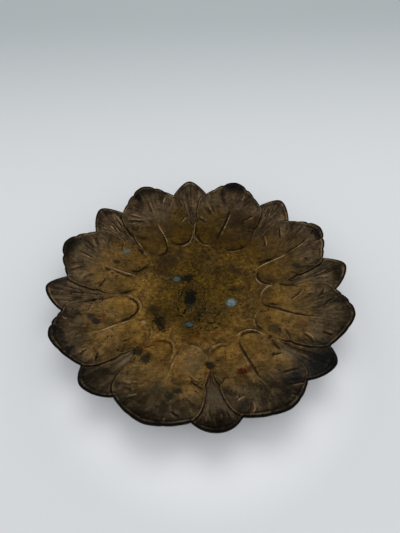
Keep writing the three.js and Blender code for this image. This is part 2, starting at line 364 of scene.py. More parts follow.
@dataclass
class LineField:
    """Thin lines on the leaves: how far each point is from the nearest, and how strong it is.

    The distances are in millimetres and change sign across a line, so that it keeps its
    place and its width between the points of the mesh.
    """

    distance: Array
    strength: Array

    def draw(self, where: Array, distance: Array, strength: Array) -> None:
        """Draws one more line.

        Args:
            where: Which points it may cross.
            distance: Their distance from it, with its sign.
            strength: How strong it is there.
        """
        kept, power = self.distance[where], self.strength[where]
        nearer = (np.abs(distance) < np.abs(kept)) & (strength > FAINT)
        kept[nearer] = distance[nearer]
        power[nearer] = strength[nearer]
        self.distance[where] = kept
        self.strength[where] = power

    def vectors(self) -> Array:
        """Gives distance and strength of every point, faded where no line is close."""
        close = 1.0 - smoothstep(np.abs(self.distance), *LINE_FADE)
        return np.stack([self.distance, self.strength * close, 0.0 * close], axis=-1)


@dataclass
class ThinLines:
    """Thin lines: dark ones of grime and painted shade, bright ones of rubbing and painted highlight."""

    dark: LineField
    bright: LineField


class Cut(Enum):
    """What a tool stroke leaves behind it."""

    RIDGE = "ridge"
    GROOVE = "groove"
    FOLD = "fold"


@dataclass(frozen=True)
class Stroke:
    """One stroke of the chaser's tool on a leaf.

    The path is in hundredths of the dish's radius, across the leaf, clockwise, and outwards.
    Depth and width are in millimetres. A fold stands up on the right of its path, as one
    looks along it, and drops on the left.
    """

    cut: Cut
    depth: float
    width: float
    path: tuple[Point, ...]
    steps: int = 5
    taper: float = 0.3
    spread: float = 3.0
    swell: float = 0.35
    full_depth: float = 0.45
    fold_offset: float = 0.9

    def line(self) -> Array:
        """Draws a smooth line through the points of the path.

        Returns:
            Points along the line, in millimetres across and outwards.
        """
        knots = np.array(self.path, dtype=float) * HUNDREDTH
        ends = [2 * knots[0] - knots[1], *knots, 2 * knots[-1] - knots[-2]]
        points = []
        for before, start, end, after in zip(ends, ends[1:], ends[2:], ends[3:]):
            for t in np.arange(self.steps) / self.steps:
                points.append(0.5 * (
                    2 * start + (end - before) * t
                    + (2 * before - 5 * start + 4 * end - after) * t ** 2
                    + (3 * start - before - 3 * end + after) * t ** 3
                ))
        points.append(knots[-1])
        return np.array(points)

    def press(self, across: Array, outwards: Array) -> Array:
        """Presses the stroke into a leaf.

        Args:
            across: How far the points lie across the leaf, in millimetres.
            outwards: How far they lie along it from the dish's axis.

        Returns:
            Four rows: heights that the stroke adds, its sharp line alone, the distance from
            the line, which changes sign across it, and how strong the line is there.
        """
        line = self.line()
        reach = 3.0 * self.spread * self.width
        low, high = line.min(axis=0) - reach, line.max(axis=0) + reach
        close = (across > low[0]) & (across < high[0]) & (outwards > low[1]) & (outwards < high[1])
        added = np.zeros((4, len(across)))
        added[2] = FAR
        if close.any():
            added[:, close] = self.press_near(line, across[close], outwards[close])
        return added

    def press_near(self, line: Array, across: Array, outwards: Array) -> Array:
        """Presses the stroke into the points close to its line.

        Args:
            line: Points along the line.
            across: How far the points lie across the leaf.
            outwards: How far they lie along it.

        Returns:
            The four rows of press.
        """
        start, run = line[:-1], np.diff(line, axis=0)
        length = np.hypot(run[:, 0], run[:, 1])
        aside = across[:, None] - start[:, 0]
        ahead = outwards[:, None] - start[:, 1]
        along = np.clip((aside * run[:, 0] + ahead * run[:, 1]) / length ** 2, 0.0, 1.0)
        distance = np.hypot(aside - along * run[:, 0], ahead - along * run[:, 1])
        nearest = np.argmin(distance, axis=1)
        points = np.arange(len(across))
        walked = np.concatenate([[0.0], np.cumsum(length)])
        reached = walked[nearest] + along[points, nearest] * length[nearest]
        covered = reached / walked[-1]
        fade = smoothstep(covered, 0.0, self.taper) * smoothstep(1.0 - covered, 0.0, self.taper)
        turn = run[nearest, 0] * ahead[points, nearest] - run[nearest, 1] * aside[points, nearest]
        signed = -np.sign(turn) * distance[points, nearest] / self.width
        if self.cut is Cut.FOLD:
            sharp = signed * np.exp(0.5 - 0.5 * signed ** 2)
            wide = signed / self.spread * np.exp(0.5 - 0.5 * (signed / self.spread) ** 2)
        else:
            sign = 1.0 if self.cut is Cut.RIDGE else -1.0
            sharp = sign * ridge(signed, 1.0)
            wide = sign * ridge(signed, self.spread)
        pressed = self.depth * fade
        strength = min(1.0, self.depth / self.full_depth) * fade
        return np.stack([
            pressed * (sharp + self.swell * wide), pressed * sharp, signed * self.width, strength
        ])

    def draw(self, where: Array, distance: Array, strength: Array, thin: "ThinLines") -> None:
        """Draws the stroke's thin lines: painted shade and grime, painted highlight and rubbing.

        Args:
            where: Which points of the mesh lie on the leaf.
            distance: Their distance from the stroke, with its sign.
            strength: How strong the stroke is there.
            thin: The lines of the whole dish.
        """
        offset = self.fold_offset * self.width if self.cut is Cut.FOLD else 0.0
        # Dark lines are grime and painted shade, bright ones rubbing and painted highlight.
        if self.cut is not Cut.RIDGE:
            thin.dark.draw(where, distance + offset, strength)
        if self.cut is not Cut.GROOVE:
            thin.bright.draw(where, distance - offset, strength)


def groove(depth: float, width: float, *path: Point) -> Stroke:
    """Sets out a groove along a path."""
    return Stroke(Cut.GROOVE, depth, width, path)


def crest(height: float, width: float, *path: Point) -> Stroke:
    """Sets out a ridge along a path."""
    return Stroke(Cut.RIDGE, height, width, path)


def fold(height: float, width: float, *path: Point) -> Stroke:
    """Sets out a fold that stands up on the right of its path."""
    return Stroke(Cut.FOLD, height, width, path)


# Every leaf was chased by hand and differs from the next. The lobed leaves are listed
# anticlockwise from the one to the right of the front, and then the pointed ones.
FRONT_RIGHT = (
    groove(
        0.5, 0.8, (0, 80), (-0.8, 72), (-1.8, 66), (-2.2, 60),
        (-2.8, 54), (-3.4, 49), (-5, 45), (-8, 42.5),
    ),
    crest(0.3, 0.8, (-0.8, 92), (-0.6, 80), (0.6, 70), (-0.4, 60), (-1.2, 52), (-2, 46)),
    crest(0.45, 0.9, (-3.5, 43), (-6.5, 41), (-11, 40.6), (-15, 42), (-18.5, 46), (-20.5, 52)),
    groove(0.35, 0.8, (-5, 44), (-9, 42.6), (-13, 43), (-17, 45.5), (-19.5, 50)),
    groove(0.35, 0.7, (-22.4, 66), (-22.3, 60), (-21.8, 54)),
    fold(0.3, 0.7, (-15, 63.5), (-18, 66), (-22, 67)),
    fold(0.4, 0.8, (-13, 77.5), (-17, 79), (-21, 80), (-23.5, 82)),
    fold(0.45, 0.9, (-10.5, 86), (-14, 87.5), (-17.5, 88.5), (-21, 90)),
    fold(0.45, 0.8, (-7.5, 91.5), (-9, 93.2), (-10.5, 95.5)),
    groove(0.3, 0.7, (-12, 82), (-17, 84.5), (-21, 86)),
    crest(0.3, 0.7, (11, 82), (11.8, 86), (14, 89.5), (17.5, 90.5)),
    crest(0.25, 0.7, (12, 80.5), (15, 79.5), (18.5, 80), (21.5, 82.5)),
    groove(0.2, 0.9, (12.5, 84), (15, 87.5), (19, 88)), fold(0.25, 0.7, (15.5, 76), (17, 79)),
    fold(0.3, 0.7, (22, 67), (19.5, 66), (16, 63.5)),
    crest(0.25, 0.6, (22.5, 66.5), (24, 64), (23.2, 61)), groove(0.2, 0.7, (3, 88), (3.4, 82), (3, 77)),
    crest(0.25, 0.6, (4, 86), (5.5, 91), (8, 94)),
    crest(0.35, 0.9, (4, 42.6), (8, 41.4), (13, 41.5), (17, 44), (19.5, 48)),
    groove(0.2, 0.8, (3, 46), (6, 43.8), (12, 43.6), (16.5, 46)),
)
RIGHT_FRONT = (
    groove(
        0.5, 0.7, (1, 84), (0.8, 75), (0.2, 66), (-0.8, 60), (-1.9, 55),
        (-2.2, 50), (-3, 45.5), (-6, 43.3), (-11, 42.7),
    ),
    crest(0.3, 0.7, (2.2, 84), (1.8, 72), (1.5, 64), (0.8, 58), (0, 52)),
    crest(0.25, 0.8, (-4, 42.6), (-8, 41.6), (-13, 41.8), (-18, 45), (-20, 50)),
    groove(0.25, 0.6, (-4.6, 54), (-5.5, 51), (-4.5, 48), (-2.6, 47)),
    fold(0.3, 0.6, (-9, 61), (-12.5, 63.5), (-16.7, 66.7), (-22, 68.5)),
    groove(0.25, 0.6, (-9, 61), (-12.5, 63.5), (-16.7, 66.7), (-22, 68.5)),
    groove(0.3, 0.6, (-21.5, 66.5), (-22.4, 62), (-22, 57), (-21, 52)),
    fold(0.3, 0.8, (-7, 82), (-11, 85), (-15, 88), (-18, 90)),
    fold(0.25, 0.7, (-15, 79), (-19, 81), (-23, 82.5)),
    groove(0.2, 0.7, (-9, 86), (-12.5, 88.5), (-16, 92)),
    groove(0.2, 0.7, (-16, 72), (-18.5, 76), (-21.5, 78)),
    fold(0.45, 0.8, (13.8, 91), (12.4, 87.5), (10.8, 83.5)),
    fold(0.4, 0.8, (21, 81), (17.4, 78.7), (15, 75.5), (14, 72)),
    groove(0.3, 0.6, (23, 66), (18, 64.8), (14.2, 62.3), (13, 59.5)),
    fold(0.25, 0.6, (13, 59.5), (14.2, 62.3), (18, 64.8), (23, 66)),
    groove(0.3, 0.7, (17, 49.5), (15.5, 45.3), (12, 42.7), (8, 42)),
    crest(0.25, 0.8, (2, 44), (5, 41.8), (10, 41.2), (15, 42.5), (18.5, 46.5)),
    groove(0.4, 0.7, (23.7, 55), (26.8, 58.5), (29.5, 61.5)),
    groove(0.2, 0.5, (5, 50.5), (6, 51), (7, 50), (6, 48.8), (5, 49.6)),
    groove(0.2, 0.6, (3, 93.5), (2, 88)),
)
RIGHT_BACK = (
    groove(0.4, 0.6, (1.4, 91), (2, 83), (1.6, 75), (1.4, 68)),
    crest(0.3, 0.7, (2.6, 92), (3, 84), (2.6, 76)),
    crest(0.65, 0.8, (3, 72), (2.7, 65), (2, 58.5), (1.4, 53), (1.4, 47), (2.4, 43.5)),
    groove(0.4, 0.8, (0.4, 62), (-0.6, 57), (-2.1, 53), (-2.7, 49)),
    groove(0.4, 0.8, (2.6, 48), (5.5, 44.6), (9.3, 43), (13, 43.7), (17, 46.2), (19.5, 49)),
    crest(0.3, 0.8, (4, 43.6), (9, 41.4), (14, 42), (18, 44.6), (21, 48.5)),
    groove(0.35, 0.8, (20, 50.5), (22, 53), (25, 56.2), (27.6, 60)),
    fold(0.4, 0.6, (-10.5, 75.2), (-15, 77.8), (-19, 80.2), (-21.5, 81)),
    fold(0.2, 0.8, (-11, 62.5), (-16, 65), (-21, 66.5)),
    groove(0.25, 0.7, (23.2, 79.5), (19.3, 76.8), (16.9, 73.5)),
    groove(0.3, 0.6, (23, 67.5), (19, 66), (16.5, 63.5)),
    fold(0.25, 0.6, (16.5, 63.5), (19, 66), (23, 67.5)),
    fold(0.35, 0.6, (6.5, 90.5), (8, 93.5), (9.2, 97)), groove(0.2, 0.8, (-7, 86), (-9, 90), (-10, 94)),
    groove(0.15, 0.7, (-4, 87), (-5, 91), (-5.4, 95)),
    groove(0.2, 0.7, (-12, 85), (-16, 87.5), (-19, 89)),
    groove(0.15, 0.7, (10, 86), (13, 89), (15.5, 92)),
    groove(0.2, 0.9, (-20, 44), (-20.6, 49), (-20.4, 54)),
)
BACK_RIGHT = (
    groove(0.55, 0.7, (1, 79), (0.9, 74), (0.5, 69), (-0.3, 63), (-1.3, 57), (-2.2, 51), (-2.8, 47.5)),
    crest(0.45, 0.7, (2.4, 77), (2.3, 72), (1.6, 65), (0.6, 58), (0, 52)),
    fold(0.6, 0.8, (13, 70.6), (16, 73.8), (20.8, 78.6)),
    groove(0.35, 0.7, (16, 67.5), (13, 69.4), (16.5, 73), (20.4, 77.4)),
    groove(0.4, 0.6, (23.8, 64.2), (20.5, 64), (17.5, 64.6)),
    fold(0.3, 0.6, (17, 65.5), (20.5, 65.2), (24, 65.5)),
    groove(0.35, 0.7, (9, 83), (12.5, 86.5), (16.7, 91)), fold(0.3, 0.8, (7, 84), (7.8, 88), (9, 93)),
    groove(0.3, 0.7, (9.5, 85), (11.5, 89.5), (13.5, 93.5)),
    groove(0.25, 0.7, (3, 84), (3.4, 88), (4, 92)), fold(0.25, 0.7, (5.5, 82), (6.4, 87), (7, 91)),
    fold(0.3, 0.7, (-11, 71), (-14, 74.5), (-18, 79)),
    groove(0.25, 0.6, (-9.4, 72), (-12, 76), (-15.5, 80)),
    groove(0.25, 0.6, (-13, 70.4), (-16, 73.6), (-20, 77)),
    fold(0.3, 0.7, (-14, 63.5), (-18, 65.4), (-21.6, 66)),
    groove(0.3, 0.6, (-14, 63.5), (-18, 65.4), (-21.6, 66)),
    groove(0.25, 0.5, (-21.8, 64.5), (-21.4, 60.5)),
    groove(0.3, 0.9, (-5, 82), (-8, 87), (-10, 92), (-11, 95)),
    groove(0.35, 0.8, (-18, 52), (-17, 49.5), (-14.8, 47), (-12, 44.8), (-8, 44)),
    crest(0.2, 0.8, (-19, 48), (-15, 44.4), (-9, 42.6), (-4, 44)),
    groove(0.45, 0.8, (24, 52.3), (19.3, 48.4), (14.2, 45), (10, 43.9), (4.5, 44.8)),
    crest(0.2, 0.9, (22, 49.4), (18, 46.2), (13, 43.2), (8, 42.2)),
    crest(0.35, 0.7, (-24, 63.5), (-21.8, 57.3), (-20.5, 51), (-20.2, 45)),
    groove(0.3, 0.6, (-22.8, 62), (-20.8, 56.5), (-19.6, 50.5), (-19.4, 45)),
)
BACK_LEFT = (
    groove(0.35, 0.7, (-0.8, 90), (-1, 84), (-1.1, 78)), crest(0.3, 0.7, (0.4, 93), (0.4, 86), (0.2, 80)),
    crest(0.5, 0.7, (-1.1, 71), (-1.1, 64), (-0.8, 57), (-1.8, 50.3), (-4, 45.3)),
    groove(0.4, 0.8, (-1.8, 62), (-2, 54), (-3, 48.5), (-5.4, 44.8), (-10, 43.6), (-16.6, 44.4)),
    crest(0.6, 0.8, (-23.4, 62.6), (-21.6, 56.5), (-21.6, 50), (-19.8, 44.4)),
    groove(0.4, 0.7, (-24.2, 61.5), (-22.8, 57), (-22.8, 52)),
    groove(0.45, 0.8, (2.4, 55), (3, 49.7), (6.8, 46.5), (11.8, 45.6), (16.2, 47.2), (20.7, 52.2)),
    crest(0.3, 0.7, (5, 44.4), (10, 43.6), (15, 44.8), (18.5, 48), (22.4, 53)),
    fold(0.35, 0.7, (25.7, 55.4), (21.3, 49.7), (15.6, 44.6)),
    fold(0.5, 0.7, (-8.8, 74.6), (-12, 77), (-15.8, 79.2), (-21.6, 81.4)),
    fold(0.35, 0.6, (-9.3, 77.6), (-13.7, 81.6), (-18.4, 85.2)),
    groove(0.3, 0.6, (-13.5, 86.3), (-15.5, 88.8), (-17.5, 91)),
    groove(0.35, 0.7, (-22.5, 66), (-18, 63), (-14, 60)), fold(0.2, 0.6, (-9, 85), (-11, 89), (-12, 93)),
    groove(0.3, 0.6, (-6.4, 89.5), (-7, 92), (-7.3, 95.5)),
    groove(0.25, 0.6, (7, 83), (10, 88), (15, 92)), fold(0.3, 0.6, (9, 82.4), (12, 87), (16.5, 90.6)),
    groove(0.2, 0.6, (4, 84), (6, 89), (9, 94)), groove(0.25, 0.6, (13, 80), (17, 84), (20, 87)),
    groove(0.2, 0.6, (14, 71.5), (18, 74.5), (22, 78)),
    fold(0.25, 0.6, (16, 63.5), (19.5, 65.5), (23.5, 66.4)),
    groove(0.45, 0.8, (-24.6, 77), (-24.8, 72.6), (-24, 68.7), (-22, 65.6), (-19.6, 66)),
    crest(0.3, 0.6, (-23, 77), (-19.5, 77.4), (-16, 76), (-13, 72.6)),
    groove(0.25, 0.5, (-21.5, 71), (-19.6, 74), (-19.2, 76.6)),
    groove(0.25, 0.5, (-19, 69), (-17, 72), (-16.4, 74.5)),
    fold(0.35, 0.7, (-13.4, 91), (-11, 88), (-9, 85)),
)
LEFT_BACK = (
    crest(0.45, 0.7, (-1.9, 91), (-2.1, 85), (-2.2, 79)),
    groove(0.35, 0.6, (-0.8, 90), (-0.9, 84), (-1, 79)),
    crest(0.7, 0.85, (-2.2, 71), (-2.5, 63), (-2.4, 56), (-1.9, 49.5), (-2.8, 44)),
    groove(0.35, 0.7, (-3.8, 66), (-4, 58), (-3.8, 50)),
    groove(0.5, 0.9, (1.4, 54), (2.8, 49), (6.6, 46.2), (10.4, 44), (14.2, 43.4)),
    crest(0.65, 0.9, (16, 44.6), (17.5, 46.6), (19.6, 49.8), (23.7, 54.1), (27.2, 60.4)),
    groove(0.35, 0.7, (17, 49), (19.5, 52.5), (22.5, 56.5)),
    groove(0.35, 0.8, (-18.5, 52), (-16.7, 49), (-14, 46), (-11, 43.4)),
    crest(0.45, 0.9, (-21, 54), (-20, 48), (-19, 43.5), (-20.5, 38.5)),
    fold(0.3, 0.7, (-11, 66.5), (-15, 66.8), (-22.6, 67.6)),
    fold(0.25, 1.0, (-11, 73.5), (-14.5, 77.5), (-20, 80.6)),
    crest(0.3, 0.7, (-21.6, 88), (-24.2, 84), (-24.6, 80.6), (-22, 79.6)),
    groove(0.2, 0.8, (-7, 82), (-10, 87), (-14, 92)), fold(0.2, 0.7, (-9, 81), (-13, 86), (-18, 90)),
    crest(0.16, 1.3, (2.6, 82), (4, 87), (5.6, 92.5)), groove(0.3, 0.9, (6.6, 82), (8.6, 86), (11, 90.5)),
    crest(0.2, 1.2, (8.6, 82), (12, 85.6), (15.8, 89.6)),
    groove(0.3, 0.8, (10.6, 81.4), (14.5, 84.6), (18.4, 87.6)),
    crest(0.18, 1.1, (13.6, 78.6), (17, 81), (20.4, 83.6)),
    groove(0.25, 0.7, (12.5, 72), (14, 76), (18, 77.6), (22, 77)),
    fold(0.25, 0.6, (15, 64.5), (18.5, 66.5), (22.5, 67)), groove(0.3, 0.6, (-9.6, 92.5), (-9.6, 96)),
    groove(0.3, 0.6, (8.4, 92.5), (9.2, 96)),
)
LEFT_FRONT = (
    crest(0.55, 0.8, (-1.1, 87), (-1.3, 78), (-1.1, 69), (-0.5, 63), (-0.5, 56.5), (0.2, 49), (2.6, 45)),
    groove(
        0.5, 0.85, (1.7, 64), (1.7, 58), (2, 53), (3.2, 49), (5.2, 45.6),
        (9, 43.2), (13.5, 43.6), (17.5, 46.6), (20, 50.5),
    ),
    crest(0.6, 0.95, (3.4, 46), (5.5, 43), (9.3, 41), (13, 41.6), (17, 44), (19.5, 47.2), (21.3, 51.6)),
    groove(0.5, 0.7, (23.2, 80), (23.5, 74), (22.9, 66), (21.8, 58.5), (21.3, 53)),
    crest(0.3, 0.7, (23.4, 62), (22.6, 57)), fold(0.45, 0.7, (-14.4, 77.4), (-17.9, 80.6), (-22.4, 82.2)),
    groove(0.25, 0.7, (-14, 60), (-18, 63.5), (-22, 66)),
    fold(0.3, 0.6, (-11, 83), (-12, 86), (-13.8, 88.6)),
    fold(0.4, 0.7, (-6.8, 94), (-8, 95.5), (-9.3, 97.5)),
    groove(0.25, 0.9, (-7, 88), (-8.5, 91), (-9.5, 93.5)),
    crest(0.3, 0.7, (13, 87), (14.5, 89.4), (18, 90.4)),
    groove(0.2, 0.7, (14, 85.6), (17, 86.8), (20, 88)),
    groove(0.15, 0.7, (12, 78.5), (16, 80), (21, 80.5)),
    crest(0.4, 1.6, (-8, 43.6), (-5, 44.2), (-2.4, 44)),
    groove(0.2, 0.8, (-18, 47), (-14, 44.4), (-9, 43)),
    crest(0.25, 0.8, (-19.5, 47.5), (-16, 43.6), (-10, 41.6)),
    groove(0.2, 0.6, (-13.5, 63.5), (-13, 58), (-12.6, 54)),
    fold(0.25, 0.6, (8, 94), (10, 96.5), (12, 98)),
)
FRONT_LEFT = (
    crest(0.45, 0.8, (-0.8, 71), (-0.6, 64), (-0.6, 57), (-1, 51), (-1.9, 45), (-3, 42)),
    crest(0.25, 0.8, (1.6, 61), (1.8, 54), (2.3, 48.4), (4.1, 44), (7.3, 41.5), (11, 41.4)),
    groove(0.3, 0.8, (3, 52), (4.2, 47), (7, 44), (11, 43.6), (15, 45.5), (18.5, 48.5)),
    groove(0.5, 0.7, (-14, 63), (-14.8, 65.5), (-19.9, 67.4), (-23.8, 69.2)),
    fold(0.25, 0.6, (-11, 62), (-15, 64.4), (-21, 66)),
    fold(0.4, 0.8, (-9.5, 87.5), (-12, 88.6), (-16, 89.5)),
    groove(0.35, 0.7, (-10.4, 87.3), (-12.5, 88), (-14.8, 88.8)),
    groove(0.2, 0.8, (-13, 75), (-17, 77.5), (-22, 80)), crest(0.3, 0.7, (-8.6, 91.5), (-8.8, 95)),
    groove(0.35, 0.8, (10.6, 84.6), (13, 86.4), (16.4, 89)),
    fold(0.15, 0.7, (10, 83.4), (13, 85.2), (17, 87.8)),
    fold(0.18, 0.8, (13.6, 75.6), (18, 78), (23.4, 80)),
    groove(0.3, 0.6, (14, 82.4), (17, 82), (19, 80.8)),
    fold(0.15, 0.7, (16.6, 65.4), (19, 66.6), (22, 68)), groove(0.3, 0.6, (22.6, 66.4), (22.6, 60)),
    crest(0.2, 0.8, (-4, 42.6), (-8, 41.2), (-13, 42), (-17.5, 45.4), (-20, 50)),
    crest(0.2, 0.6, (-16.5, 45.5), (-13, 41.6)), groove(0.15, 0.8, (4, 88), (5, 84), (6, 80)),
    groove(0.15, 0.8, (-2, 90), (-2.4, 85)),
)
FRONT_POINT = (
    fold(0.3, 0.6, (3.7, 86), (3.2, 89), (2.7, 92.6)),
    fold(0.3, 0.6, (0.9, 88.4), (0.6, 91), (0.2, 94.4)),
    fold(0.3, 0.6, (-3.4, 85), (-3.7, 88), (-3.4, 92)),
    fold(0.25, 0.6, (-6, 86.4), (-6.5, 89), (-6.7, 91.6)),
    groove(0.3, 0.8, (6.4, 88), (6.4, 91), (4.6, 94)),
)
RIGHT_FRONT_POINT = (
    crest(0.25, 0.7, (-8.4, 86), (-6, 92), (-1, 94.4), (4, 93)),
    groove(0.4, 0.9, (-9.4, 89), (-5, 95), (1, 96.4)), fold(0.25, 0.7, (2, 90), (1, 84), (0.4, 78)),
)
RIGHT_POINT = (
    groove(0.35, 0.8, (-7.5, 92), (-3.4, 96), (2, 96.4), (6.6, 93)),
    fold(0.25, 0.6, (-3.4, 90), (-2, 84), (-1, 79)), fold(0.25, 0.6, (2.4, 91), (1.4, 85), (0.6, 80)),
)
BACK_RIGHT_POINT = (
    fold(0.35, 0.7, (-5.3, 92.4), (-4.5, 88), (-3.4, 82.6)),
    fold(0.35, 0.7, (-2, 92.6), (-1, 89), (0.3, 85)), fold(0.25, 0.7, (4, 91), (2.4, 86), (1.4, 81)),
)
BACK_LEFT_POINT = (
    fold(0.45, 0.8, (8.2, 91.4), (7.2, 86), (5.7, 80.6)),
    fold(0.45, 0.8, (4.9, 91.2), (4, 86), (2.9, 80.4)), fold(0.4, 0.8, (0.3, 89), (0, 84), (-1, 77.6)),
    fold(0.4, 0.8, (-2.1, 88.4), (-2.4, 83), (-3, 77)),
)
LEFT_POINT = (
    groove(0.25, 0.7, (-6, 89), (-4, 84), (-2, 78)), fold(0.25, 0.7, (-1.6, 93), (-1, 86), (-0.5, 79)),
    fold(0.25, 0.7, (3.8, 91), (3, 85), (1.6, 79)), crest(0.2, 0.7, (9, 88), (7, 86), (4, 82)),
)
# The strokes of each leaf by the number of its axis, anticlockwise from the front.
LEAF_STROKES = {
    0: FRONT_POINT, 1: FRONT_RIGHT, 2: RIGHT_FRONT_POINT, 3: RIGHT_FRONT, 4: RIGHT_POINT,
    5: RIGHT_BACK, 6: BACK_RIGHT_POINT, 7: BACK_RIGHT, 9: BACK_LEFT, 10: BACK_LEFT_POINT,
    11: LEFT_BACK, 12: LEFT_POINT, 13: LEFT_FRONT, 15: FRONT_LEFT,
}


@dataclass
class Relief:
    """What the leaves add to the plain form, and masks of grime and painted shade, rubbing and painted
    highlight.
    """

    height: Array
    crease: Array
    crest: Array
    fan: Array
    thin: ThinLines


@dataclass(frozen=True)
class LeafRelief:
    """Relief of the upper face: scoops, steps between leaves, and the chaser's strokes."""

    pattern: LeafPattern
    lobe_depth: float = 0.55
    lobe_run_in: float = 7.0
    lobe_border: float = 0.3
    edge_height: float = 0.4
    edge_width: float = 0.95
    leaf_step: float = 1.25
    step_run_in: float = 0.08
    pointed_hollow: float = 0.6
    lip_run_in: Point = (0.968, 0.988)
    scoop_end: float = 0.78
    margin_run_in: Point = (0.42, 0.5)
    # Margin lines: painted shade at the foot of the step, painted highlight on the lobed edge.
    margin_shade_shift: float = 0.45
    margin_shade: Point = (0.5, 0.9)
    margin_highlight_shift: float = 0.6
    margin_highlight: float = 0.3
    stroke_spread: float = 32.0
    stroke_start: float = 0.34
    full_cut: float = 0.4
    cavity_width: float = 0.9
    # Grime and painted shade in the pointed leaf's margin hollow; rubbing and painted highlight on lobed
    # edges.
    cavity_dirt_and_shade: float = 0.6
    edge_wear_and_highlight: float = 0.2
    fan_centre: float = 0.56
    fan_clearance: float = 4.0
    unevenness: float = 0.22
    close_unevenness: float = 0.45
    wave: float = 17.0
    close_wave: float = 6.5

    def soft(self, radius: Array, place: LeafPlace) -> Array:
        """Gives the broad relief that also shows on the back.

        Args:
            radius: Distances from the axis.
            place: Where the points lie in the pattern.

        Returns:
            Heights to add.
        """
        end = self.pattern.lobe_end(place.across)
        in_lobe = smoothstep(radius - end, 0.0, self.lobe_run_in)
        towards_rim = smoothstep(place.share, self.scoop_end, 1.0)
        scoop = smoothstep(place.across, 0.0, self.lobe_border)
        scoop = scoop * smoothstep(1.0 - place.across, 0.0, self.lobe_border)
        lobed = -self.lobe_depth * in_lobe * scoop * (1.0 - towards_rim)
        start = self.pattern.pointed_start
        under = smoothstep(place.share, start, start + self.step_run_in)
        hollow = np.sin(math.pi * place.past) ** 2
        pointed = -under * (self.leaf_step + self.pointed_hollow * hollow)
        return np.where(place.on_pointed, pointed, lobed)

    def lip(self, place: LeafPlace) -> Array:
        """Gives the raised lip that runs round the rim."""
        return self.pattern.lip_height * smoothstep(place.share, *self.lip_run_in)

    def carve(self, radius: Array, place: LeafPlace) -> Relief:
        """Carves the whole relief of the upper face.

        Args:
            radius: Distances from the axis.
            place: Where the points lie in the pattern.

        Returns:
            Heights to add, and the masks that the finish reads.
        """
        start = self.pattern.pointed_start
        under = smoothstep(place.share, start, start + self.step_run_in)
        to_margin = radius * np.radians(np.abs(place.from_point - place.shown))
        outside = smoothstep(radius / PLAN_RADIUS, *self.margin_run_in)
        lobed_edge = np.where(place.on_pointed, 0.0, ridge(to_margin, self.edge_width) * outside)
        cavity = np.where(place.on_pointed, ridge(to_margin, self.cavity_width) * under, 0.0)
        height = self.soft(radius, place) + self.lip(place) + self.edge_height * lobed_edge
        cuts = np.zeros((2, *height.shape))
        side = radius * np.radians(place.from_point - place.shown)
        side = np.where(outside > FAINT, side, FAR)
        # Margin lines: painted shade at the step down to the pointed leaf, painted highlight on the lobed
        # edge.
        dark = outside * lerp(*self.margin_shade, under)
        thin = ThinLines(
            dark=LineField(side + self.margin_shade_shift * under, dark),
            bright=LineField(side - self.margin_highlight_shift, self.margin_highlight * outside),
        )
        for axis, strokes in LEAF_STROKES.items():
            bearing = -90.0 + axis * 180.0 / self.pattern.leaf_pairs
            turned = (bearing - place.bearing + 180.0) % 360.0 - 180.0
            same_kind = place.on_pointed == (axis % 2 == 0)
            close = np.abs(turned) < self.stroke_spread
            mine = close & same_kind & (place.share > self.stroke_start)
            across = radius[mine] * np.sin(np.radians(turned[mine]))
            outwards = radius[mine] * np.cos(np.radians(turned[mine]))
            for stroke in strokes:
                pressed = stroke.press(across, outwards)
                cuts[:, mine] += pressed[:2]
                stroke.draw(mine, *pressed[2:], thin)
        height = height + cuts[0]
        # Creases take grime and painted shade; crests take rubbing and painted highlight.
        crease = np.clip(-cuts[1] / self.full_cut, 0.0, 1.0) + self.cavity_dirt_and_shade * cavity
        worn_and_highlit = np.clip(cuts[1] / self.full_cut, 0.0, 1.0) + self.edge_wear_and_highlight * lobed_edge
        return Relief(
            height, np.clip(crease, 0.0, 1.0), np.clip(worn_and_highlit, 0.0, 1.0),
            self.fan(radius, place), thin,
        )

    def fan(self, radius: Array, place: LeafPlace) -> Array:
        """Gives the direction that fine chased lines follow, as rays from each leaf's heart.

        Args:
            radius: Distances from the axis.
            place: Where the points lie in the pattern.

        Returns:
            Angles of the rays in radians, told apart from leaf to leaf.
        """
        off_rib = np.radians(place.from_rib)
        off_point = np.radians(place.from_point)
        heart = self.fan_centre * PLAN_RADIUS
        past_heart = np.maximum(radius * np.cos(off_rib) - heart, self.fan_clearance)
        lobed = np.arctan2(radius * np.sin(off_rib), past_heart)
        past_heart = np.maximum(radius - heart, self.fan_clearance)
        pointed = np.arctan2(radius * np.sin(off_point), past_heart)
        side = np.sign(place.bearing - self.pattern.axis_bearing(2 * place.lobed + 1))
        return np.where(place.on_pointed, 3.0 + pointed * side, lobed * side) + 7.0 * place.lobed

    def uneven(self, points: Array) -> Array:
        """Gives the slight waviness that a hand-finished casting keeps.

        Args:
            points: Places of the points in millimetres, one row of two each.

        Returns:
            Heights to add.
        """
        broad = [noise.noise(Vector((*place, 1.7))) for place in points / self.wave]
        close = [noise.noise(Vector((*place, 8.3))) for place in points / self.close_wave]
        return self.unevenness * (np.array(broad) + self.close_unevenness * np.array(close))


# Stains and marks


# Marks nearer to the axis than this are drawn by the finish, where the mesh is too open.
WELL_MARKS_RADIUS = 49.0
WELL_MARK_HEIGHT = 15.0
SPOT_DEPTH = 60.0
# How far ragged edges fray, and how wide the fringe outside a mark's edge is.
FRAY = 2.0
FRINGE = 0.5


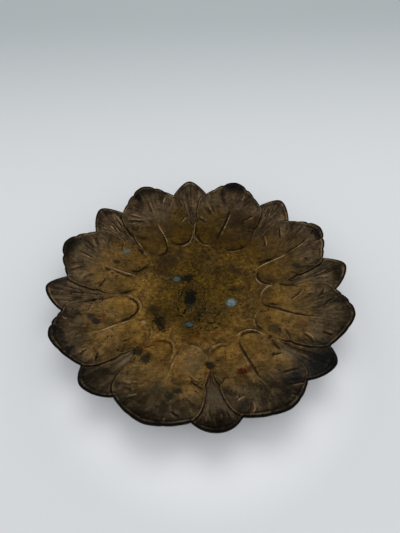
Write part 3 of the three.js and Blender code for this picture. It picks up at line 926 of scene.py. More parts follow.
class Stain(Enum):
    """What a mark is made of: its colour, how much metal still shows, and how matt it is."""

    # Pale ash-grey skin, which on the front pointed leaf is also a painted reflection.
    ASH_AND_REFLECTION = ((98, 84, 64), 0.9, 0.5)
    ORANGE = ((68, 36, 8), 0.9, 0.5)
    BROWN = ((27, 17, 8), 0.9, 0.5)
    SLATE = ((23, 23, 23), 0.9, 0.45)
    OLIVE = ((14, 12, 4), 0.9, 0.5)
    RUST = ((50, 12, 2), 0.85, 0.45)
    BLACK = ((7, 7, 7), 0.9, 0.45)
    GREY_GREEN = ((33, 33, 23), 0.75, 0.6)
    VERDIGRIS = ((46, 56, 50), 0.2, 0.85)
    PALE_VERDIGRIS = ((80, 90, 84), 0.1, 0.9)

    @property
    def seen(self) -> Seen:
        """The stain's colour."""
        return self.value[0]

    @property
    def metal(self) -> float:
        """How much of it still reflects as metal."""
        return self.value[1]

    @property
    def roughness(self) -> float:
        """How matt it is."""
        return self.value[2]

    @property
    def crusted(self) -> bool:
        """Whether it stands on the metal as a crust, and isn't a skin that rubs through."""
        return self.metal < 0.8


@dataclass(frozen=True)
class Mark:
    """One mark on the upper face: where it lies and how large it is, in millimetres."""

    stain: Stain
    x: float
    y: float
    length: float
    width: float
    turn: float
    strength: float
    ragged: float
    softness: float

    @property
    def in_well(self) -> bool:
        """Whether it lies in the well."""
        return math.hypot(self.x, self.y) < WELL_MARKS_RADIUS

    def cover(self, x: Array, y: Array) -> Array:
        """Gives how far points lie inside the mark.

        Args:
            x: Places of the points in millimetres.
            y: Places of the points in millimetres.

        Returns:
            0 at the edge, 1 where the mark is full, and less than 0 outside.
        """
        turn = math.radians(self.turn)
        along = (x - self.x) * math.cos(turn) + (y - self.y) * math.sin(turn)
        aside = (y - self.y) * math.cos(turn) - (x - self.x) * math.sin(turn)
        return (1.0 - np.hypot(along / self.length, aside / self.width)) / self.softness


def on_leaf(
    stain: Stain, leaf: int, across: float, outwards: float,
    length: float, width: float, turn: float, *look: float,
) -> Mark:
    """Sets out a mark by its place on a leaf.

    Args:
        stain: What the mark is made of.
        leaf: Number of the lobed leaf, anticlockwise from the one right of the front.
        across: Place across the leaf, clockwise, in hundredths of the dish's radius.
        outwards: Place along the leaf from the axis of the dish.
        length: Half the length of the mark in millimetres.
        width: Half its width.
        turn: Turn of its long side from the leaf's midrib, clockwise, in degrees.
        *look: Its strength, and how ragged and how soft its edge is.

    Returns:
        The mark, by its place on the dish.
    """
    bearing = -67.5 + 45.0 * leaf
    angle = math.radians(bearing)
    x = HUNDREDTH * (outwards * math.cos(angle) + across * math.sin(angle))
    y = HUNDREDTH * (outwards * math.sin(angle) - across * math.cos(angle))
    return Mark(stain, x, y, length, width, bearing - turn, *look)


# Each row is one mark by its place on the dish: x, y, half its length, half its width, the
# bearing of its long side, its strength, and how ragged and how soft its edge is.
MARKS_ON_DISH = {
    Stain.OLIVE: (
        (-36.5, -26.5, 10.8, 5.6, 110, 0.97, 1.5, 0.5), (-8.8, -4.0, 11.0, 6.6, 80, 1.0, 1.0, 0.3),
        (34.0, 1.5, 9.0, 3.6, -5, 0.6, 1.3, 0.9), (-9.5, -4.5, 14.5, 9.5, 80, 0.15, 1.2, 1.0),
        (-16.5, 0.5, 7.5, 1.3, 62, 0.7, 1.4, 0.6), (-9.8, 18.2, 7.6, 4.2, 10, 1.0, 1.1, 0.35),
        (-38.0, -20.0, 16.0, 9.5, 110, 0.2, 1.0, 1.0), (-41.0, -13.5, 6.4, 5.2, 0, 0.85, 0.9, 0.6),
        (1.2, -71.0, 4.8, 3.8, -25, 0.9, 0.8, 0.4), (0.6, -119.0, 14.0, 6.0, 0, 0.8, 0.6, 0.9),
        (-78.0, -78.0, 12.0, 9.0, 45, 0.5, 0.9, 1.0), (117.5, 0.0, 2.6, 9.0, 0, 0.85, 1.0, 0.8),
    ),
    Stain.BLACK: (
        (-8.6, -3.0, 8.0, 4.6, 80, 0.8, 1.6, 0.6), (27.4, 1.9, 1.4, 1.2, 0, 0.9, 0.7, 0.5),
        (99.1, 22.1, 1.3, 1.2, 0, 0.9, 0.6, 0.4), (51.7, 17.4, 1.3, 1.1, 0, 0.9, 0.6, 0.4),
        (-54.1, 106.1, 2.4, 1.8, 20, 0.95, 0.8, 0.5), (-25.6, 113.9, 1.8, 1.4, 0, 0.9, 0.8, 0.5),
    ),
    Stain.GREY_GREEN: (
        (-9.6, -12.6, 4.2, 3.0, 10, 0.75, 0.9, 0.5), (1.6, -71.4, 3.2, 2.2, -25, 0.6, 0.9, 0.5),
    ),
    Stain.VERDIGRIS: (
        (-19.7, 17.3, 4.3, 3.3, 30, 0.95, 0.8, 0.35), (-11.7, -30.5, 4.3, 2.9, -20, 0.95, 0.8, 0.35),
    ),
    Stain.PALE_VERDIGRIS: (
        (26.2, -11.9, 5.2, 4.8, 20, 1.0, 0.5, 0.25), (-64.5, 48.4, 4.4, 2.0, 16, 1.0, 0.6, 0.3),
    ),
    Stain.RUST: (
        (-4.7, -40.3, 1.6, 1.2, 0, 0.9, 0.6, 0.4), (44.3, 0.8, 3.6, 1.2, 80, 0.8, 0.9, 0.5),
        (-9.0, -39.0, 1.2, 1.0, 0, 0.9, 0.6, 0.5), (0.4, -79.0, 4.4, 1.1, 82, 0.9, 0.8, 0.5),
        (24.6, -78.4, 4.6, 4.0, -10, 0.98, 1.1, 0.45), (29.0, -77.2, 3.8, 3.2, 20, 0.7, 0.9, 0.6),
    ),
    Stain.ORANGE: (
        (42.5, 3.4, 3.8, 2.6, 10, 0.5, 1.1, 0.7), (-9.0, -45.0, 9.0, 3.2, 6, 0.55, 2.4, 0.9),
        (6.0, -43.0, 9.0, 2.8, 22, 0.6, 2.4, 0.9), (-2.6, -76.0, 4.2, 1.2, 74, 0.7, 0.8, 0.6),
        (77.0, -42.8, 6.0, 5.0, 0, 0.45, 0.9, 1.0), (-81.5, -22.3, 5.0, 2.0, 82, 0.85, 1.2, 0.8),
        (-36.0, -46.0, 8.0, 2.4, 5, 0.8, 2.4, 0.8), (-48.0, -49.0, 9.0, 2.8, 22, 0.8, 2.4, 0.8),
    ),
    Stain.BROWN: (
        (36.5, 21.5, 13.0, 5.0, -35, 0.6, 1.2, 0.9), (20.0, 22.0, 10.0, 2.6, -4, 0.5, 1.4, 0.9),
        (30.0, 58.0, 14.0, 8.0, 30, 0.45, 1.2, 1.0), (89.2, 16.7, 4.0, 3.6, 0, 0.8, 1.1, 0.6),
        (-73.2, 35.8, 3.0, 2.6, 0, 0.8, 0.9, 0.5), (-49.3, 63.5, 4.4, 3.4, 0, 0.6, 1.1, 0.8),
        (-45.0, -50.0, 3.4, 1.0, 20, 0.8, 1.4, 0.6), (-30.0, 35.0, 19.0, 13.0, 60, 0.75, 1.0, 0.9),
        (-2.0, 40.0, 22.0, 7.0, 0, 0.4, 1.3, 1.0), (-80.8, 87.4, 5.6, 2.4, 30, 0.85, 0.9, 0.6),
    ),
    Stain.ASH_AND_REFLECTION: (
        # The first mark lightens the front pointed leaf as a painted reflection.
        (0.8, -97.0, 10.0, 6.0, 90, 0.95, 0.5, 0.9), (62.5, -67.5, 8.0, 4.2, -47, 0.75, 0.6, 0.8),
        (-64.0, -62.0, 8.5, 4.6, 45, 0.8, 0.6, 0.8),
    ),
    Stain.SLATE: (
        (83.0, -81.0, 19.0, 14.0, 45, 0.97, 0.6, 0.6), (60.0, -89.0, 15.0, 8.0, 33, 0.92, 0.5, 0.95),
        (69.0, -78.0, 9.0, 7.0, 40, 0.7, 0.5, 1.0), (-87.0, -26.6, 4.8, 3.8, -40, 0.9, 0.8, 0.5),
        (-90.6, -22.3, 4.2, 3.4, -40, 0.85, 0.8, 0.5),
    ),
}
# These rows start with the leaf, the place across it and outwards. The turn follows its midrib.
MARKS_ON_LEAVES = {
    Stain.ORANGE: (
        (0, 10, 70.5, 1.8, 1.4, 0, 0.6, 0.8, 0.6), (1, 7.9, 72.4, 5.2, 4.0, 0, 0.4, 0.8, 0.9),
        (6, -22.5, 45, 5.0, 1.5, 10, 0.6, 1.0, 0.7), (7, 5, 49, 4.6, 2.2, -20, 0.4, 1.0, 0.8),
    ),
    Stain.BROWN: (
        (0, 6, 53, 0.9, 0.7, 0, 0.9, 0.5, 0.4), (0, -17, 65, 2.4, 1.2, 50, 0.7, 0.7, 0.5),
        (2, 14, 80, 1.3, 1.1, 0, 0.8, 0.6, 0.5), (3, 9.5, 73, 15.0, 9.0, 15, 0.75, 0.8, 0.9),
        (3, 19, 67, 12.0, 7.5, 30, 0.65, 0.8, 0.9), (3, -8, 91, 5.0, 4.0, 30, 0.7, 0.9, 0.8),
        (3, 19.5, 60.5, 4.4, 2.4, 60, 0.5, 0.9, 0.8), (3, 14, 46.5, 6.0, 2.2, 70, 0.5, 0.9, 0.8),
        (4, -8, 90, 7.0, 5.0, 60, 0.7, 0.9, 0.9), (4, -16, 61.5, 4.2, 2.2, 60, 0.75, 0.9, 0.6),
        (4, -13, 47, 6.4, 3.0, 70, 0.5, 1.0, 0.9), (4, 8, 62, 5.0, 3.4, 30, 0.35, 1.0, 0.9),
        (5, -4.7, 68, 3.0, 1.9, 0, 0.9, 0.8, 0.4), (5, -6, 64, 1.6, 1.2, 0, 0.8, 0.8, 0.5),
        (5, -7.6, 60.4, 1.7, 1.6, 0, 0.6, 0.8, 0.5), (5, -4, 60.6, 1.2, 0.9, 0, 0.85, 0.7, 0.5),
        (5, 9.4, 70, 1.2, 1.0, 0, 0.7, 0.7, 0.5),
    ),
    Stain.SLATE: (
        (0, -6, 90, 8.0, 3.2, 80, 0.7, 0.8, 0.7), (0, 17.2, 84.4, 4.6, 4.2, 0, 0.5, 0.4, 0.3),
        (0, 6.5, 88, 5.0, 2.6, 0, 0.4, 0.6, 0.6), (1, 17.5, 87, 4.6, 3.6, 30, 0.6, 0.5, 0.4),
        (1, 20, 75, 4.6, 2.4, 0, 0.4, 0.6, 0.6), (1, -18.5, 54, 4.6, 1.2, 70, 0.5, 0.8, 0.6),
        (1, -4.2, 52, 2.6, 2.0, 0, 0.5, 0.8, 0.6), (2, 15.6, 71.8, 4.2, 3.0, 30, 0.6, 0.9, 0.8),
        (3, -10, 92.5, 2.0, 1.3, 40, 0.8, 0.7, 0.5), (3, -5.5, 84, 5.4, 2.2, -32, 0.65, 0.9, 0.7),
        (3, -9.5, 79.5, 3.6, 1.8, 80, 0.6, 0.9, 0.7), (5, 4.6, 66, 3.8, 2.8, 0, 0.5, 0.9, 0.7),
        (6, -8.4, 91.4, 3.0, 2.0, 0, 0.6, 0.8, 0.6), (7, 22.4, 73, 2.3, 1.5, 0, 0.7, 0.7, 0.5),
    ),
    Stain.GREY_GREEN: (
        (1, 14.8, 55.3, 4.5, 4.2, 0, 0.6, 0.5, 0.3), (7, -6.4, 79.4, 4.0, 3.5, 0, 0.95, 0.9, 0.5),
        (7, -9.8, 74.2, 3.7, 3.1, 40, 0.95, 0.9, 0.5), (7, 16.8, 60.4, 3.0, 2.4, 10, 0.6, 0.9, 0.5),
        (7, 22.8, 57.4, 2.8, 2.0, 70, 0.7, 0.9, 0.5),
    ),
    Stain.OLIVE: (
        (1, 15.5, 59, 2.8, 0.9, 70, 0.8, 0.7, 0.4), (1, 21.8, 54, 2.0, 1.4, 60, 0.9, 0.7, 0.4),
        (5, -3, 96, 15.0, 5.0, 90, 0.8, 0.6, 0.9), (1, 8, 95, 14.0, 4.4, 90, 0.6, 0.6, 0.9),
        (6, -18.6, 67.2, 1.3, 1.2, 0, 0.9, 0.6, 0.4), (6, 3.2, 50, 1.5, 1.1, 0, 0.7, 0.8, 0.5),
        (7, 3, 94.4, 14.0, 4.4, 88, 0.75, 1.6, 0.9), (7, 16.6, 59.8, 5.4, 4.8, 10, 0.85, 0.9, 0.5),
        (7, 22.4, 57.0, 5.0, 4.0, 70, 0.85, 0.8, 0.4),
    ),
    Stain.BLACK: (
        (1, 8, 63.4, 1.0, 0.8, 0, 0.8, 0.5, 0.4), (2, -0.5, 57.3, 2.9, 1.5, 8, 0.95, 0.7, 0.4),
        (2, 7.6, 96, 1.6, 1.2, 0, 0.9, 0.6, 0.4), (2, 2.4, 95.6, 9.0, 3.4, 85, 0.95, 1.0, 0.6),
        (3, 1, 76, 2.4, 1.0, 0, 0.9, 0.6, 0.4), (3, 1, 97, 13.5, 6.6, 90, 0.97, 0.8, 0.6),
        (4, -6.0, 94.8, 4.2, 3.6, 0, 0.98, 0.6, 0.5), (5, -2, 97.5, 12.0, 3.8, 90, 0.75, 1.0, 0.6),
        (6, 2, 95.5, 15.0, 4.8, 90, 0.7, 1.4, 0.6), (4, 16.6, 92, 1.2, 1.0, 0, 0.9, 0.5, 0.4),
        (4, 3, 97, 12.0, 4.6, 88, 0.8, 0.9, 0.7), (6, 22.9, 68, 2.3, 1.3, -8, 0.98, 0.4, 0.3),
        (6, 4.5, 94.6, 8.0, 3.6, 82, 0.9, 1.2, 0.6), (6, -10, 93.6, 6.0, 2.2, 105, 0.85, 1.2, 0.6),
        (7, -13, 92.5, 4.4, 2.2, 60, 0.5, 0.8, 0.7),
    ),
    Stain.ASH_AND_REFLECTION: (
        (7, -11, 52, 14.0, 9.5, 0, 0.36, 0.8, 1.0), (7, 2, 77, 9.0, 6.0, 60, 0.3, 1.0, 1.0),
    ),
}
MARKS = (
    *(Mark(stain, *row) for stain, rows in MARKS_ON_DISH.items() for row in rows),
    *(on_leaf(stain, *row) for stain, rows in MARKS_ON_LEAVES.items() for row in rows),
)


def stain_field(stain: Stain, x: Array, y: Array) -> Array:
    """Works out where the marks of one stain lie on the leaves.

    Args:
        stain: The stain.
        x: Places of the points in millimetres.
        y: Places of the points in millimetres.

    Returns:
        For every point how far it lies inside a mark, how ragged that mark's edge is, and
        how strong the mark is.
    """
    field_of_marks = np.tile([-FAR, 0.0, 0.0], (len(x), 1))
    for mark in MARKS:
        if mark.stain is stain and not mark.in_well:
            cover = mark.cover(x, y)
            best = cover > field_of_marks[:, 0]
            field_of_marks[best, 0] = cover[best]
            field_of_marks[best, 1] = FRAY * mark.ragged / mark.softness
            field_of_marks[best, 2] = mark.strength
    return field_of_marks


# Making the pieces


def start_fresh() -> None:
    """Leaves edit mode and deselects everything, so that an operator takes one piece."""
    if bpy.context.object and bpy.context.object.mode != "OBJECT":
        bpy.ops.object.mode_set(mode="OBJECT")
    bpy.ops.object.select_all(action="DESELECT")


def close_up(piece: bpy.types.Object) -> None:
    """Merges the doubles of seams and poles and turns all faces outwards.

    Args:
        piece: The piece to close, which is left selected and active.
    """
    start_fresh()
    piece.select_set(True)
    bpy.context.view_layer.objects.active = piece
    bpy.ops.object.mode_set(mode="EDIT")
    bpy.ops.mesh.select_all(action="SELECT")
    bpy.ops.mesh.remove_doubles(threshold=2e-6)
    bpy.ops.mesh.dissolve_degenerate(threshold=1e-7)
    bpy.ops.mesh.normals_make_consistent(inside=False)
    bpy.ops.object.mode_set(mode="OBJECT")


def store(mesh: bpy.types.Mesh, name: str, values: Array, parts: int = 1) -> None:
    """Stores a mask in a mesh, for its finish to read.

    Args:
        mesh: The mesh.
        name: Name of the mask.
        values: Its value, or its three values, at every point.
        parts: How many values a point has, 1 or 3.
    """
    kind, slot = ("FLOAT", "value") if parts == 1 else ("FLOAT_VECTOR", "vector")
    layer = mesh.attributes.new(name, kind, "POINT")
    layer.data.foreach_set(slot, values.astype(np.float32).ravel())


@dataclass
class DishCasting:
    """The cast dish: plain well, sixteen leaves and the rim, in one skin."""

    pattern: LeafPattern = field(default_factory=LeafPattern)
    wall: float = 2.4
    rim_wall: float = 2.6
    rim_swell: float = 0.68
    rim_run_in: Point = (0.9, 1.0)
    calm_rim: Point = (0.93, 0.99)
    top_clearance: float = 0.02
    back_relief: float = 0.6
    per_half: int = 44
    on_point: int = 10
    back_rings: int = 14
    rim_rings: int = 5
    face_rings: int = 102
    well_rings: int = 10
    well_share: float = 0.4

    def shares(self) -> tuple[Array, Array, Array]:
        """Sets out the rings, from the centre of the back to the centre of the well.

        Returns:
            The share of the way out of each ring, how much of its height comes from the
            upper face, and how far the rim swells out there.
        """
        back = np.linspace(0.0, 1.0, self.back_rings + 1)[:-1]
        turn = np.radians(np.linspace(-90.0, 90.0, self.rim_rings + 2)[1:-1])
        face = np.linspace(1.0, self.well_share, self.face_rings + 1)
        well = np.linspace(self.well_share, 0.0, self.well_rings + 1)[1:]
        share = np.concatenate([back, [1.0], np.ones(self.rim_rings), face, well])
        upper = np.concatenate([
            0.0 * back, [0.0], 0.5 + 0.5 * np.sin(turn), np.ones(len(face) + len(well))
        ])
        swell = np.concatenate([
            0.0 * back, [0.0], self.rim_swell * np.cos(turn), np.zeros(len(face) + len(well))
        ])
        return share, upper, swell

    def build(self) -> bpy.types.Object:
        """Builds the skin on a grid whose points are moved onto the leaves.

        Returns:
            The dish, with the masks that its finish reads.
        """
        pattern = self.pattern
        carver = LeafRelief(pattern)
        share, upper, swell = self.shares()
        place = pattern.places(share, self.per_half, self.on_point)
        radius = pattern.ring_radius(place)
        form = pattern.form(radius, place)
        relief = carver.carve(radius, place)
        thickness = lerp(self.wall, self.rim_wall, smoothstep(place.share, *self.rim_run_in))
        soft = carver.soft(radius, place) + carver.lip(place)
        under = form + self.back_relief * soft - thickness
        over = form + relief.height
        reach = radius + swell[:, None]
        angle = np.radians(place.bearing)
        plan = np.stack([reach * np.cos(angle), reach * np.sin(angle)], axis=-1)
        calm = 1.0 - smoothstep(place.share, *self.calm_rim)
        over = over + calm * carver.uneven(plan.reshape(-1, 2)).reshape(over.shape)
        height = lerp(under, over, upper[:, None])
        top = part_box("dish")[1].z / MM
        height = np.minimum(height, top - self.top_clearance)

        rings, columns = height.shape
        start_fresh()
        bpy.ops.mesh.primitive_grid_add(
            x_subdivisions=columns - 1, y_subdivisions=rings - 1, size=2.0 * PLAN_RADIUS * MM
        )
        dish = bpy.context.object
        dish.name = "dish_casting"
        mesh = dish.data
        points = np.concatenate([plan, height[..., None]], axis=-1).reshape(-1, 3) * MM
        mesh.vertices.foreach_set("co", points.astype(np.float32).ravel())
        on_face = (upper[:, None] > 0.6) + 0.0 * height
        pointed_start = pattern.pointed_start
        # The crease and crest masks: grime with painted shade, and rubbing with painted highlight.
        masks = {
            "crease": relief.crease * on_face,
            "crest": relief.crest * on_face,
            "pointed": place.on_pointed * smoothstep(
                place.share, pointed_start - 0.02, pointed_start + 0.06
            ),
            "fan": relief.fan,
            "outwards": place.share,
            "face": on_face,
        }
        for name, values in masks.items():
            store(mesh, name, values)
        # Thin lines of grime and painted shade, and of rubbing and painted highlight.
        store(mesh, "shade_and_dirt_lines", relief.thin.dark.vectors(), 3)
        store(mesh, "highlight_and_wear_lines", relief.thin.bright.vectors(), 3)
        x, y = plan.reshape(-1, 2).T
        for stain in Stain:
            marked = stain_field(stain, x, y)
            marked[~on_face.astype(bool).ravel(), 2] = 0.0
            store(mesh, stain.name.lower(), marked, 3)
        close_up(dish)
        bpy.ops.object.shade_smooth()
        return dish


@dataclass(frozen=True)
class TurnedProfile:
    """A profile turned on the lathe, from which a ring or a knob is spun."""

    name: str
    points: tuple[Point, ...]
    segments: int
    open_bore: bool

    def build(self) -> bpy.types.Object:
        """Turns the profile by drawing a circle on, step by step.

        Returns:
            The piece, about the axis of the dish.
        """
        first_radius, first_height = self.points[0]
        start_fresh()
        bpy.ops.mesh.primitive_circle_add(
            vertices=self.segments, radius=first_radius * MM, location=(0, 0, first_height * MM)
        )
        bpy.ops.object.transform_apply(location=True, rotation=True, scale=True)
        piece = bpy.context.object
        piece.name = self.name
        bpy.ops.object.mode_set(mode="EDIT")
        bpy.ops.mesh.select_all(action="SELECT")
        if not self.open_bore:
            bpy.ops.mesh.edge_face_add()
            bpy.ops.mesh.select_all(action="SELECT")
        for (radius, height), (next_radius, next_height) in zip(self.points, self.points[1:]):
            rise = (0.0, 0.0, (next_height - height) * MM)
            bpy.ops.mesh.extrude_region_move(TRANSFORM_OT_translate={"value": rise})
            widen = next_radius / radius
            bpy.ops.transform.resize(
                value=(widen, widen, 1.0), center_override=(0.0, 0.0, next_height * MM)
            )
        if self.open_bore:
            bpy.ops.mesh.select_all(action="DESELECT")
            bpy.ops.mesh.select_non_manifold()
            bpy.ops.mesh.bridge_edge_loops()
        bpy.ops.object.mode_set(mode="OBJECT")
        close_up(piece)
        bpy.ops.object.shade_smooth_by_angle(angle=math.radians(35.0))
        return piece


@dataclass
class FootRing:
    """The turned ring that the dish stands on, with the flange that the rivets hold."""

    pattern: LeafPattern = field(default_factory=LeafPattern)
    outer_radius: float = 46.0
    land: float = 4.0
    cove: float = 1.6
    flange_inner: float = 20.0
    flange_wall: float = 1.6
    edge: float = 0.6
    wall: float = 2.4
    seat_clearance: float = 0.3
    inner_edge: float = 0.3
    corner: float = 0.6
    segments: int = 160
    cove_steps: int = 8
    seat_steps: int = 12
    flange_steps: int = 9

    def seat(self, radius: float) -> float:
        """Gives the height of the ring's top, which follows the back of the well."""
        well = float(self.pattern.bowl_height(np.float64(radius)))
        return well - self.wall - self.seat_clearance

    def build(self) -> bpy.types.Object:
        """Turns the ring.

        Returns:
            The ring.
        """
        land_inner = self.outer_radius - self.land
        seat_outer = self.outer_radius - self.cove
        top = self.seat(seat_outer)
        profile = [(land_inner + self.inner_edge, 0.0), (self.outer_radius - self.edge, 0.0)]
        for turn in (30.0, 60.0, 90.0):
            lift = self.edge * (1.0 - math.cos(math.radians(turn)))
            out = self.edge * math.sin(math.radians(turn))
            profile.append((self.outer_radius - self.edge + out, lift))
        for step in range(1, self.cove_steps + 1):
            turn = step / self.cove_steps * math.pi / 2.0
            rise = lerp(self.edge, top, 1.0 - math.cos(turn))
            profile.append((self.outer_radius - self.cove * math.sin(turn), rise))
        for step in range(1, self.seat_steps + 1):
            radius = lerp(seat_outer, self.flange_inner, step / self.seat_steps)
            profile.append((radius, self.seat(radius)))
        middle = self.seat(self.flange_inner) - 0.5 * self.flange_wall
        profile.append((self.flange_inner, middle))
        flange_outer = land_inner - self.flange_wall
        for step in range(self.flange_steps + 1):
            radius = lerp(self.flange_inner, flange_outer, step / self.flange_steps)
            profile.append((radius, self.seat(radius) - self.flange_wall))
        deep = self.seat(land_inner) - 2.0 * self.flange_wall
        profile.append((land_inner - 0.5, deep + self.corner))
        profile.append((land_inner, deep))
        profile.append((land_inner, self.inner_edge))
        return TurnedProfile("foot_turning", tuple(profile), self.segments, True).build()


@dataclass(frozen=True)
class Rivet:
    """One rivet, peened flush in the well and closed over under the foot's flange."""

    node: str
    radius: float
    bearing: float
    pattern: LeafPattern = field(default_factory=LeafPattern)
    shank: float = 2.2
    head: float = 3.6
    head_depth: float = 1.2
    head_land: float = 0.25
    crown: float = 0.25
    tail: float = 3.8
    tail_height: float = 1.1
    flat: float = 2.2
    grip: float = 4.6
    crust: float = 0.08

    @property
    def place(self) -> Point:
        """Where it stands in the plan of the dish."""
        angle = math.radians(self.bearing)
        return (self.radius * math.cos(angle), self.radius * math.sin(angle))

    def build(self) -> bpy.types.Object:
        """Turns the rivet, roughens its ends and stands it at its place in the well.

        Returns:
            The rivet.
        """
        low = -self.grip - self.tail_height
        profile = (
            (0.6, low), (self.flat, low), (self.tail - 0.5, low + 0.28),
            (self.tail - 0.08, low + 0.7), (self.tail, -self.grip), (self.shank, -self.grip),
            (self.shank, -self.head_depth), (self.head - 0.02, -self.head_land),
            (self.head, -0.02), (0.8 * self.head, 0.5 * self.crown + 0.05),
            (self.flat, self.crown - 0.02), (1.1, self.crown), (0.4, self.crown),
        )
        rivet = TurnedProfile(self.node + "_turning", profile, 48, False).build()
        self.roughen(rivet)
        height = float(self.pattern.bowl_height(np.float64(self.radius)))
        step = 0.5
        slope = float(
            self.pattern.bowl_height(np.float64(self.radius + step))
            - self.pattern.bowl_height(np.float64(self.radius - step))
        ) / (2.0 * step)
        angle = math.radians(self.bearing)
        stand = Matrix.Translation(Vector((*self.place, height)) * MM)
        turn = Matrix.Rotation(angle, 4, "Z") @ Matrix.Rotation(-math.atan(slope), 4, "Y")
        rivet.data.transform(stand @ turn)
        return rivet

    def roughen(self, rivet: bpy.types.Object) -> None:
        """Knocks the hammered ends a little out of true.

        Args:
            rivet: The rivet, still upright at the origin.
        """
        for vertex in rivet.data.vertices:
            place = vertex.co / MM
            rough = noise.noise(place * 1.3 + Vector((self.bearing, 0.0, 0.0)))
            if place.z > -0.1:
                vertex.co.z += self.crust * (rough - 0.4) * MM
            elif place.z < -self.grip - 0.1:
                vertex.co.z += self.crust * (rough + 0.6) * MM


# Finishes


class NodeSheet:
    """The node sheet of one material, with short calls for what the finishes need."""

    def __init__(self, name: str) -> None:
        """Opens an empty sheet with a surface shader and an output.

        Args:
            name: Name of the material.
        """
        self.material = bpy.data.materials.new(name)
        self.material.use_nodes = True
        self.tree = self.material.node_tree
        self.tree.nodes.clear()
        self.shader = self.add("BsdfPrincipled", {})
        self.add("OutputMaterial", {"Surface": self.shader.outputs["BSDF"]})
        self.place = self.add("TexCoord", {}).outputs["Object"]

    def feed(self, socket: Socket, value: Fed) -> None:
        """Links a socket to another one, or sets it to a plain value.

        Args:
            socket: The socket to feed.
            value: What it takes.
        """
        if isinstance(value, Socket):
            self.tree.links.new(value, socket)
        else:
            socket.default_value = value

    def add(self, kind: str, fed: dict[int | str, Fed], **options: str) -> bpy.types.Node:
        """Adds a node, sets its options and feeds its inputs.

        Args:
            kind: The kind of node.
            fed: What the inputs take, by their numbers or names.
            **options: The node's own options.

        Returns:
            The node.
        """
        node = self.tree.nodes.new("ShaderNode" + kind)
        for name, choice in options.items():
            setattr(node, name, choice)
        for name, value in fed.items():
            self.feed(node.inputs[name], value)
        return node

    def mask(self, name: str) -> Socket:
        """Reads a mask that the mesh carries."""
        return self.add("Attribute", {}, attribute_name=name).outputs["Fac"]

    def three_masks(self, name: str) -> tuple[Socket, ...]:
        """Reads three masks that the mesh carries under one name."""
        return self.split(self.add("Attribute", {}, attribute_name=name).outputs["Vector"])

    def maths(self, kind: str, first: Fed, second: Fed = 0.0) -> Socket:
        """Works out a value from one or two others, by a rule such as POWER."""
        return self.add("Math", {0: first, 1: second}, operation=kind).outputs[0]

    def plus(self, first: Fed, second: Fed) -> Socket:
        """Adds two values."""
        return self.maths("ADD", first, second)

    def minus(self, first: Fed, second: Fed) -> Socket:
        """Takes the second value from the first."""
        return self.maths("SUBTRACT", first, second)

    def times(self, first: Fed, second: Fed) -> Socket:
        """Multiplies two values."""
        return self.maths("MULTIPLY", first, second)

    def larger(self, first: Fed, second: Fed) -> Socket:
        """Takes the larger of two values."""
        return self.maths("MAXIMUM", first, second)

    def between(self, start: Fed, end: float, share: Socket) -> Socket:
        """Goes from one number towards another by a share."""
        return self.plus(self.times(self.minus(1.0, share), start), self.times(share, end))

    def rise(self, value: Fed, low: float, high: float, start: float = 0.0, end: float = 1.0) -> Socket:
        """Rises softly from start, where the value is low, to end, where it is high."""
        fed = {"Value": value, "From Min": low, "From Max": high, "To Min": start, "To Max": end}
        return self.add("MapRange", fed, interpolation_type="SMOOTHSTEP").outputs["Result"]

    def blend(self, share: Fed, under: Fed, over: Fed, kind: str = "MIX") -> Socket:
        """Lays one colour over another by a share."""
        fed = {0: share, 6: under, 7: over}
        return self.add("Mix", fed, data_type="RGBA", blend_type=kind).outputs[2]

    def cloud(
        self, size: float, detail: float = 2.0, roughness: float = 0.55, at: Socket | None = None
    ) -> Socket:
        """Gives a cloudy value.

        Args:
            size: About how far the clouds are across, in millimetres.
            detail: How many finer clouds lie over them.
            roughness: How strong the finer ones are.
            at: Where to read it, if not at the plain place on the piece.

        Returns:
            The value, mostly between 0.3 and 0.7.
        """
        where = self.place if at is None else at
        fed = {"Vector": where, "Scale": 1.0 / (size * MM), "Detail": detail, "Roughness": roughness}
        return self.add("TexNoise", fed).outputs["Fac"]

    def grain(self, size: float) -> Socket:
        """Gives the distance to the nearest of scattered points size millimetres apart."""
        fed = {"Vector": self.place, "Scale": 1.0 / (size * MM)}
        return self.add("TexVoronoi", fed).outputs["Distance"]

    def from_spot(self, middle: Triple, turn: float, size: Triple) -> Socket:
        """Measures how far points are from the middle of a spot.

        Args:
            middle: Place of the spot in millimetres.
            turn: Bearing of its long side in degrees.
            size: Its half length, half width and half depth in millimetres.

        Returns:
            The distance, which is 1 at the edge of the spot.
        """
        fed = {
            "Vector": self.place,
            "Location": [part * MM for part in middle],
            "Rotation": (0.0, 0.0, math.radians(turn)),
            "Scale": [part * MM for part in size],
        }
        return self.length(self.add("Mapping", fed, vector_type="TEXTURE").outputs["Vector"])

    def length(self, vector: Socket) -> Socket:
        """Gives the length of a vector."""
        return self.add("VectorMath", {0: vector}, operation="LENGTH").outputs["Value"]

    def split(self, vector: Socket) -> tuple[Socket, ...]:
        """Splits a vector into its three parts."""
        return tuple(self.add("SeparateXYZ", {0: vector}).outputs)

    def join(self, *parts: Fed) -> Socket:
        """Joins three parts into a vector."""
        return self.add("CombineXYZ", dict(enumerate(parts))).outputs[0]

    def bump(self, height: Fed, depth: float, below: Socket | None = None) -> Socket:
        """Turns a height into a bump.

        Args:
            height: The height, from 0 to 1.
            depth: How high 1 stands, in millimetres.
            below: A bump that this one lies on.

        Returns:
            The bumped normal.
        """
        fed = {"Strength": 1.0, "Distance": depth * MM, "Height": height}
        if below is not None:
            fed["Normal"] = below
        return self.add("Bump", fed).outputs["Normal"]

